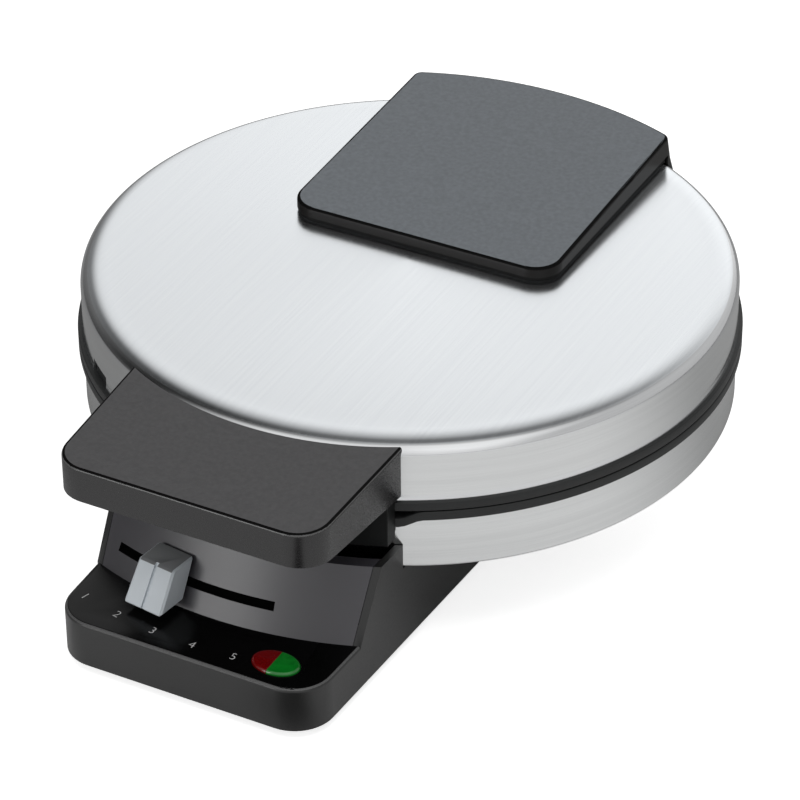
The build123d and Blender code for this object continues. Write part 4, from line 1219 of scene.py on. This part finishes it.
def screw_tree() -> Tree:
    """Tree that seats a cross-recessed screw on every point.

    Returns:
        The tree; a blank screw points up, with the top of its head at its origin.
    """
    tree = Tree("seated_screws", {
        "Blank": "NodeSocketObject",
        "Facing": "NodeSocketVector",
        "Recess length": "NodeSocketFloat",
        "Recess width": "NodeSocketFloat",
        "Recess depth": "NodeSocketFloat",
        "Finish": "NodeSocketMaterial",
    })
    given = tree.source.outputs
    blank = tree.add("GeometryNodeObjectInfo")
    tree.link(given["Blank"], blank.inputs["Object"])
    recess = tree.add("GeometryNodeJoinGeometry")
    depth = tree.math("MULTIPLY", given["Recess depth"], 2.0)
    for across in (("Recess length", "Recess width"), ("Recess width", "Recess length")):
        size = tree.add("ShaderNodeCombineXYZ")
        tree.link(given[across[0]], size.inputs["X"])
        tree.link(given[across[1]], size.inputs["Y"])
        tree.link(depth, size.inputs["Z"])
        bar = tree.add("GeometryNodeMeshCube")
        tree.link(size.outputs["Vector"], bar.inputs["Size"])
        tree.link(bar.outputs["Mesh"], recess.inputs["Geometry"])
    cut = tree.add("GeometryNodeMeshBoolean", operation="DIFFERENCE")
    tree.link(blank.outputs["Geometry"], cut.inputs["Mesh 1"])
    tree.link(recess.outputs["Geometry"], cut.inputs["Mesh 2"])
    # Each recess stops at its own angle
    angle = tree.add("FunctionNodeRandomValue", data_type="FLOAT")
    angle.inputs[3].default_value = math.pi / 2
    angle.inputs["Seed"].default_value = 7
    spun = tree.add("ShaderNodeCombineXYZ")
    tree.link(angle.outputs[1], spun.inputs["Z"])
    own = tree.add("FunctionNodeEulerToRotation")
    tree.link(spun.outputs["Vector"], own.inputs["Euler"])
    facing = tree.add("FunctionNodeEulerToRotation")
    tree.link(given["Facing"], facing.inputs["Euler"])
    turned = tree.add("FunctionNodeRotateRotation", rotation_space="LOCAL")
    tree.link(facing.outputs["Rotation"], turned.inputs["Rotation"])
    tree.link(own.outputs["Rotation"], turned.inputs["Rotate By"])
    placed = tree.add("GeometryNodeInstanceOnPoints")
    tree.link(given["Geometry"], placed.inputs["Points"])
    tree.link(cut.outputs["Mesh"], placed.inputs["Instance"])
    tree.link(turned.outputs["Rotation"], placed.inputs["Rotation"])
    real = tree.add("GeometryNodeRealizeInstances")
    tree.link(placed.outputs["Instances"], real.inputs["Geometry"])
    finish = tree.add("GeometryNodeSetMaterial")
    tree.link(real.outputs["Geometry"], finish.inputs["Geometry"])
    tree.link(given["Finish"], finish.inputs["Material"])
    tree.link(finish.outputs["Geometry"], tree.result.inputs["Geometry"])
    return tree


class Facing(Enum):
    """Way a screw's head looks: axis, sign and the turn from straight up."""

    UP = (2, 1, (0.0, 0.0, 0.0))
    DOWN = (2, -1, (math.pi, 0.0, 0.0))
    REAR = (1, 1, (-math.pi / 2, 0.0, 0.0))


def islands(node: str) -> list[tuple[Vector, Vector]]:
    """Boxes of the loose parts of a CAD node.

    Args:
        node: name of the CAD node.

    Returns:
        Lowest and highest corner of each part.
    """
    shape = bmesh.new()
    shape.from_mesh(FRAME["nodes"][node].data)
    bmesh.ops.remove_doubles(shape, verts=shape.verts, dist=MERGE_M)
    left = set(shape.verts)
    boxes = []
    while left:
        front = [left.pop()]
        part = []
        while front:
            vert = front.pop()
            part.append(vert.co)
            near = {edge.other_vert(vert) for edge in vert.link_edges} & left
            left -= near
            front.extend(near)
        low = Vector([min(c[i] for c in part) for i in range(3)])
        high = Vector([max(c[i] for c in part) for i in range(3)])
        boxes.append((low, high))
    shape.free()
    return boxes


@dataclass
class Screws:
    """Pan-head screws with rolled threads in the places of the CAD screws."""

    finishes: dict[str, bpy.types.Material]
    head_radius: float = 3.2
    head_height: float = 1.8
    shank_radius: float = 1.6
    thread_depth: float = 0.25
    thread_pitch: float = 0.7
    recess: tuple[float, float, float] = (3.6, 0.75, 1.1)
    tree: Tree = field(default_factory=screw_tree)
    sets: tuple[tuple[str, str, Body, Facing], ...] = (
        ("bottom_screws", "housing_fasteners", Body.BASE, Facing.DOWN),
        ("plate_screws", "lower_plate_fasteners", Body.BASE, Facing.DOWN),
        ("upper_plate_screws", "upper_plate_fasteners", Body.LID, Facing.UP),
        ("handle_screws", "handle_fasteners", Body.LID, Facing.REAR),
        ("hinge_screws", "hinge_fasteners", Body.LID, Facing.REAR),
        ("hinge_cover_screws", "cover_fasteners", Body.LID, Facing.DOWN),
    )

    def blank(self, length: float) -> bpy.types.Object:
        """Screw without its recess, head up.

        Args:
            length: whole length in millimetres.

        Returns:
            The screw.
        """
        head = [(0.0, 0.0), (1.2, -0.02), (2.2, -0.14), (2.85, -0.42), (3.12, -0.8)]
        head += [(self.head_radius, -1.2)]
        head += [(self.head_radius, -self.head_height + 0.1), (self.head_radius - 0.1, -self.head_height)]
        shank = [(self.shank_radius, -self.head_height)]
        tip = -length + self.shank_radius * 0.4
        turns = int((-self.head_height - tip) / self.thread_pitch)
        for k in range(turns):
            z = -self.head_height - self.thread_pitch * k
            shank.append((self.shank_radius, z - self.thread_pitch * 0.3))
            shank.append((self.shank_radius - self.thread_depth, z - self.thread_pitch * 0.8))
        shank += [(self.shank_radius, tip), (self.shank_radius * 0.7, -length), (0.0, -length)]
        shape = bmesh.new()
        chain = [shape.verts.new((r * MM, 0, z * MM)) for r, z in head + shank]
        edges = [shape.edges.new(pair) for pair in zip(chain, chain[1:])]
        bmesh.ops.spin(shape, geom=chain + edges, cent=(0, 0, 0), axis=(0, 0, 1), angle=math.tau, steps=28)
        bmesh.ops.remove_doubles(shape, verts=shape.verts, dist=1e-6)
        bmesh.ops.recalc_face_normals(shape, faces=shape.faces)
        mesh = bpy.data.meshes.new("screw_blank")
        shape.to_mesh(mesh)
        shape.free()
        return linked(mesh)

    def build(self) -> None:
        """Seats one set of screws for each CAD node of screws."""
        for node, name, body, facing in self.sets:
            axis, sign, turn = facing.value
            boxes = islands(node)
            length = (boxes[0][1][axis] - boxes[0][0][axis]) / MM
            spots = []
            for low, high in boxes:
                spot = (low + high) / 2
                spot[axis] = high[axis] if sign > 0 else low[axis]
                spots.append(spot)
            mesh = bpy.data.meshes.new(name)
            mesh.from_pydata(spots, [], [])
            blank = self.blank(length)
            piece = self.tree.grow(linked(mesh), {
                "Blank": blank,
                "Facing": turn,
                "Recess length": self.recess[0] * MM,
                "Recess width": self.recess[1] * MM,
                "Recess depth": self.recess[2] * MM,
                "Finish": self.finishes["zinc_plate"],
            })
            bpy.data.objects.remove(blank)
            seated(smoothed(piece), body, "screw_steel", node)


@dataclass
class Innards:
    """Inner CAD nodes that keep their own meshes and get their finishes."""

    finishes: dict[str, bpy.types.Material]
    dress: dict[str, str] = field(default_factory=lambda: {
        "terminal_block": "terminal_plastic", "lower_heating_element": "element_steel",
        "upper_heating_element": "element_steel", "lower_reflector": "reflector_sheet",
        "upper_reflector": "reflector_sheet", "thermostat": "ceramic", "thermal_fuse": "brass",
        "indicator_board": "board_laminate", "red_lamp": "red_lens", "green_lamp": "green_lens",
        "lid_strap": "zinc_plate", "control_lever": "black_oxide", "thermostat_shaft": "zinc_plate",
    })

    def build(self) -> None:
        """Assigns each inner node its finish."""
        for node, finish in self.dress.items():
            holder = FRAME["nodes"][node]
            holder.data.materials.clear()
            holder.data.materials.append(self.finishes[finish])
            LOG.info("node %s: %s", node, finish)


@dataclass
class Numerals:
    """Browning scale printed on the ledge."""

    finishes: dict[str, bpy.types.Material]
    radius: float = 131.4
    angles: tuple[float, ...] = (-106.5, -100.9, -95.3, -89.6, -84.0)
    height: float = 3.1
    ledge_z: float = 17.3
    thickness: float = 0.04

    def numeral(self, digit: int, angle: float) -> bpy.types.Mesh:
        """Mesh of one digit in its place on the ledge.

        Args:
            digit: the digit.
            angle: its place round the plates' axis in degrees.

        Returns:
            The mesh.
        """
        text = bpy.data.curves.new("numeral", "FONT")
        text.body = str(digit)
        text.align_x = text.align_y = "CENTER"
        text.size = self.height * 1.3 * MM
        text.offset = -0.08 * MM
        text.extrude = self.thickness * MM
        text.resolution_u = 6
        holder = bpy.data.objects.new("numeral", text)
        bpy.context.collection.objects.link(holder)
        graph = bpy.context.evaluated_depsgraph_get()
        mesh = bpy.data.meshes.new_from_object(holder.evaluated_get(graph), depsgraph=graph)
        bpy.data.objects.remove(holder)
        turn = math.radians(angle)
        across = self.radius * math.cos(turn) * MM
        along = (AXIS_Y + self.radius * math.sin(turn)) * MM
        spot = (across, along, self.ledge_z * MM)
        mesh.transform(Matrix.Translation(spot) @ Matrix.Rotation(turn + math.pi / 2, 4, "Z"))
        return mesh

    def build(self) -> None:
        """Joins the digits into one printed piece."""
        shape = bmesh.new()
        for digit, angle in enumerate(self.angles, 1):
            shape.from_mesh(self.numeral(digit, angle))
        mesh = bpy.data.meshes.new("browning_scale")
        shape.to_mesh(mesh)
        shape.free()
        scale = linked(mesh)
        painted(scale, self.finishes["numeral_ink"])
        seated(scale, Body.BASE, "knob_plastic")


@dataclass
class Studio:
    """Pale floor, soft light and the camera of the photograph."""

    azimuth: float = 28.295
    elevation: float = 34.209
    roll: float = -0.439
    target: tuple[float, float, float] = (13.188, -17.601, 43.0)
    distance: float = 1161.545
    focal_share: float = 4.99168
    floor_half: float = 9000.0
    flag_from: float = -0.1
    flag_to: float = 0.7
    shaded_paper: tuple[float, float] = (0.31, 0.46)
    lit_paper: float = 0.88
    fill_level: float = 0.42
    side_level: float = 0.35
    left_level: float = 0.2
    right_level: float = 0.5
    patch_middle: Point = (-31.0, 208.0)
    patch_half: Point = (20.0, 78.0)
    patch_soft: float = 10.0
    arch: tuple[Point, ...] = (
        (0, 0.7), (20, 0.78), (45, 0.92), (78, 0.92), (92, 0.45), (104, 0.13), (118, 0.15), (130, 0.4),
        (139, 0.60), (143.5, 0.76), (146, 0.90), (150, 0.92), (160, 0.92), (180, 0.92),
    )

    def camera(self) -> None:
        """Sets the camera that sees what the photograph sees."""
        a, e, r = (math.radians(v) for v in (self.azimuth, self.elevation, self.roll))
        back = Vector((math.sin(a) * math.cos(e), -math.cos(a) * math.cos(e), math.sin(e)))
        right = Vector((math.cos(a), math.sin(a), 0))
        up = back.cross(right)
        turned_right = right * math.cos(r) + up * math.sin(r)
        turned_up = up * math.cos(r) - right * math.sin(r)
        data = bpy.data.cameras.new("camera")
        data.sensor_width = 36.0
        data.lens = 36.0 * self.focal_share
        data.clip_end = 50.0
        holder = bpy.data.objects.new("camera", data)
        bpy.context.collection.objects.link(holder)
        axes = Matrix((turned_right, turned_up, back)).transposed().to_4x4()
        spot = (Vector(self.target) + back * self.distance) * MM
        holder.matrix_world = Matrix.Translation(spot) @ axes
        bpy.context.scene.camera = holder

    def toward_camera(self) -> Vector:
        """Level direction from the waffle maker to the camera.

        Returns:
            The direction, of length 1.
        """
        a = math.radians(self.azimuth)
        return Vector((math.sin(a), -math.cos(a), 0))

    def to_right(self) -> Vector:
        """Level direction to the camera's right."""
        return Vector((0, 0, 1)).cross(self.toward_camera())

    def card(self, shade: Shade, place: bpy.types.NodeSocket) -> bpy.types.NodeSocket:
        """Share of a dark card on the floor that only gloss sees.

        Args:
            shade: the floor's material.
            place: Object coordinates of the floor.

        Returns:
            1 on the card, 0 off it, soft between.
        """
        shares = []
        ways = (self.to_right(), self.toward_camera())
        for direction, middle, half in zip(ways, self.patch_middle, self.patch_half):
            along = shade.add("ShaderNodeVectorMath", operation="DOT_PRODUCT")
            along.inputs[1].default_value = direction
            shade.link(place, along.inputs[0])
            off = shade.add("ShaderNodeMath", operation="SUBTRACT")
            off.inputs[1].default_value = middle * MM
            shade.link(along.outputs["Value"], off.inputs[0])
            away = shade.add("ShaderNodeMath", operation="ABSOLUTE")
            shade.link(off.outputs["Value"], away.inputs[0])
            share = shade.add("ShaderNodeMapRange", interpolation_type="SMOOTHSTEP")
            share.inputs["From Min"].default_value = (half - self.patch_soft) * MM
            share.inputs["From Max"].default_value = (half + self.patch_soft) * MM
            share.inputs["To Min"].default_value = 1.0
            share.inputs["To Max"].default_value = 0.0
            shade.link(away.outputs["Value"], share.inputs["Value"])
            shares.append(share.outputs["Result"])
        both = shade.add("ShaderNodeMath", operation="MULTIPLY")
        shade.link(shares[0], both.inputs[0])
        shade.link(shares[1], both.inputs[1])
        return both.outputs["Value"]

    def floor(self) -> None:
        """Lays the pale floor: white to the camera, shaded beside and behind the object."""
        mesh = bpy.data.meshes.new("floor")
        h = self.floor_half * MM
        mesh.from_pydata([(-h, -h, 0), (h, -h, 0), (h, h, 0), (-h, h, 0)], [], [(0, 1, 2, 3)])
        plane = linked(mesh)
        shade = Shade("floor_paper")
        shade.set(Roughness=0.9, Specular_IOR_Level=0.0, Emission_Color=(1, 1, 1, 1))
        place = shade.add("ShaderNodeTexCoord")
        way = shade.add("ShaderNodeVectorMath", operation="NORMALIZE")
        shade.link(place.outputs["Object"], way.inputs[0])
        share = shade.add("ShaderNodeVectorMath", operation="DOT_PRODUCT")
        share.inputs[1].default_value = self.toward_camera()
        shade.link(way.outputs["Vector"], share.inputs[0])
        front = shade.add("ShaderNodeMapRange", interpolation_type="SMOOTHSTEP")
        front.inputs["From Min"].default_value = self.flag_from
        front.inputs["From Max"].default_value = self.flag_to
        shade.link(share.outputs["Value"], front.inputs["Value"])
        beside = shade.add("ShaderNodeVectorMath", operation="DOT_PRODUCT")
        beside.inputs[1].default_value = self.to_right()
        shade.link(way.outputs["Vector"], beside.inputs[0])
        shaded = shade.add("ShaderNodeMapRange")
        shaded.inputs["From Min"].default_value = -0.8
        shaded.inputs["From Max"].default_value = 0.8
        shaded.inputs["To Min"].default_value = self.shaded_paper[0]
        shaded.inputs["To Max"].default_value = self.shaded_paper[1]
        shade.link(beside.outputs["Value"], shaded.inputs["Value"])
        paper = shade.add("ShaderNodeMapRange")
        shade.link(shaded.outputs["Result"], paper.inputs["To Min"])
        paper.inputs["To Max"].default_value = self.lit_paper
        shade.link(front.outputs["Result"], paper.inputs["Value"])
        rays = shade.add("ShaderNodeLightPath")
        card = shade.add("ShaderNodeMath", operation="MULTIPLY")
        shade.link(self.card(shade, place.outputs["Object"]), card.inputs[0])
        shade.link(rays.outputs["Is Glossy Ray"], card.inputs[1])
        kept = shade.add("ShaderNodeMath", operation="SUBTRACT")
        kept.inputs[0].default_value = 1.0
        shade.link(card.outputs["Value"], kept.inputs[1])
        tone = shade.add("ShaderNodeMath", operation="MULTIPLY")
        shade.link(paper.outputs["Result"], tone.inputs[0])
        shade.link(kept.outputs["Value"], tone.inputs[1])
        shade.link(tone.outputs["Value"], shade.shader.inputs["Base Color"])
        fill = shade.add("ShaderNodeMapRange")
        fill.inputs["To Min"].default_value = 0.95
        fill.inputs["To Max"].default_value = 0.75
        shade.link(front.outputs["Result"], fill.inputs["Value"])
        glow = shade.add("ShaderNodeMath", operation="MULTIPLY")
        shade.link(rays.outputs["Is Camera Ray"], glow.inputs[0])
        shade.link(fill.outputs["Result"], glow.inputs[1])
        shade.link(glow.outputs["Value"], shade.shader.inputs["Emission Strength"])
        mesh.materials.append(shade.material)

    def world(self) -> None:
        """Makes the surroundings: white to the camera, a studio with dark gaps to gloss."""
        world = bpy.data.worlds.new("surroundings")
        bpy.context.scene.world = world
        world.use_nodes = True
        tree = world.node_tree
        nodes, links = tree.nodes, tree.links
        background = nodes["Background"]
        background.inputs["Color"].default_value = (1, 1, 1, 1)
        way = nodes.new("ShaderNodeTexCoord").outputs["Generated"]

        def math_node(operation: str, first: object, second: object = 0.0) -> bpy.types.NodeSocket:
            """Sum, product or the like of two sockets or numbers.

            Args:
                operation: name of the operation.
                first: first socket or number.
                second: second socket or number.

            Returns:
                The result.
            """
            node = nodes.new("ShaderNodeMath")
            node.operation = operation
            for place, value in enumerate((first, second)):
                if isinstance(value, bpy.types.NodeSocket):
                    links.new(value, node.inputs[place])
                else:
                    node.inputs[place].default_value = value
            return node.outputs["Value"]

        def along(direction: Vector) -> bpy.types.NodeSocket:
            """Share of the ray's direction along another.

            Args:
                direction: the other direction.

            Returns:
                The share, from -1 to 1.
            """
            node = nodes.new("ShaderNodeVectorMath")
            node.operation = "DOT_PRODUCT"
            links.new(way, node.inputs[0])
            node.inputs[1].default_value = direction
            return node.outputs["Value"]

        front = self.toward_camera()
        turn = math_node("ARCTAN2", along(Vector((0, 0, 1))), along(front))
        ramp = nodes.new("ShaderNodeValToRGB")
        links.new(math_node("DIVIDE", turn, math.pi), ramp.inputs["Fac"])
        elements = ramp.color_ramp.elements
        while len(elements) > 1:
            elements.remove(elements[-1])
        for step, (angle, level) in enumerate(self.arch):
            stop = elements[0] if step == 0 else elements.new(angle / 180)
            stop.position = angle / 180
            stop.color = (level, level, level, 1)
        side = along(self.to_right())

        def ease(value: bpy.types.NodeSocket, start: float, end: float,
                 low: float, high: float) -> bpy.types.NodeSocket:
            """Number that goes softly from low to high as the value goes from start to end.

            Args:
                value: the value.
                start: value at which the change starts.
                end: value at which it ends.
                low: number at the start.
                high: number at the end.

            Returns:
                The number.
            """
            node = nodes.new("ShaderNodeMapRange")
            node.interpolation_type = "SMOOTHSTEP"
            for name, number in zip(("From Min", "From Max", "To Min", "To Max"), (start, end, low, high)):
                node.inputs[name].default_value = number
            links.new(value, node.inputs["Value"])
            return node.outputs["Result"]

        right = ease(side, 0.3, 0.7, 0.0, 1.0)
        spare = math_node("SUBTRACT", self.right_level, ramp.outputs["Color"])
        studio = math_node("ADD", ramp.outputs["Color"], math_node("MULTIPLY", right, spare))
        behind = ease(along(front), -0.3, 0.1, 1.0, 0.0)
        flag = math_node("MULTIPLY", behind, ease(side, -0.38, -0.1, 1.0 - self.left_level, 0.0))
        studio = math_node("MULTIPLY", studio, math_node("SUBTRACT", 1.0, flag))
        studio = math_node("MULTIPLY", studio, ease(side, -0.9, -0.45, self.side_level, 1.0))
        studio = math_node("MULTIPLY", studio, ease(side, -0.14, 0.14, 0.93, 1.1))
        rays = nodes.new("ShaderNodeLightPath")
        gloss = math_node("MAXIMUM", rays.outputs["Is Glossy Ray"], rays.outputs["Is Transmission Ray"])
        lit = nodes.new("ShaderNodeMix")
        links.new(gloss, lit.inputs["Factor"])
        lit.inputs[2].default_value = self.fill_level
        links.new(studio, lit.inputs[3])
        seen = nodes.new("ShaderNodeMix")
        links.new(rays.outputs["Is Camera Ray"], seen.inputs["Factor"])
        links.new(lit.outputs[0], seen.inputs[2])
        seen.inputs[3].default_value = 1.0
        links.new(seen.outputs[0], background.inputs["Strength"])

    def lamp(self, name: str, spot: Sequence[float], size: float, power: float, gloss: bool = True) -> None:
        """Hangs one soft square lamp that faces the waffle maker.

        Args:
            name: name of the lamp.
            spot: place in metres.
            size: side of the square in metres.
            power: power in watts.
            gloss: whether it shows in gloss.
        """
        data = bpy.data.lights.new(name, "AREA")
        data.size = size
        data.energy = power
        holder = bpy.data.objects.new(name, data)
        bpy.context.collection.objects.link(holder)
        holder.location = spot
        holder.visible_glossy = gloss
        aim = Vector((0, 0, 0.04)) - Vector(spot)
        holder.rotation_euler = aim.to_track_quat("-Z", "Y").to_euler()

    def build(self) -> None:
        """Sets floor, surroundings, lamps and camera."""
        bpy.context.scene.view_settings.view_transform = "Standard"
        self.floor()
        self.world()
        self.lamp("top_lamp", (0.15, -0.25, 1.4), 1.0, 8.0, gloss=False)
        self.lamp("front_lamp", (-0.60, -1.34, 0.45), 0.6, 4.0)
        self.camera()


def corners(pair: Iterable[Vector]) -> list[list[float]]:
    """Lowest and highest corner as plain lists, in metres."""
    return [[round(v, 6) for v in corner] for corner in pair]


def main() -> None:
    logging.basicConfig(level=logging.INFO, format="%(message)s")
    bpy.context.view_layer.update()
    palette = Palette()
    finishes = {name: getattr(palette, name).make() for name in palette.__dataclass_fields__}
    for assembly in (
        SteelShells(finishes, Spinner()),
        Mouldings(finishes),
        Screws(finishes),
        Innards(finishes),
        Numerals(finishes),
        Studio(),
    ):
        assembly.build()
        LOG.info("built %s", type(assembly).__name__)
    bpy.context.view_layer.update()


if __name__ == "__main__":
    main()
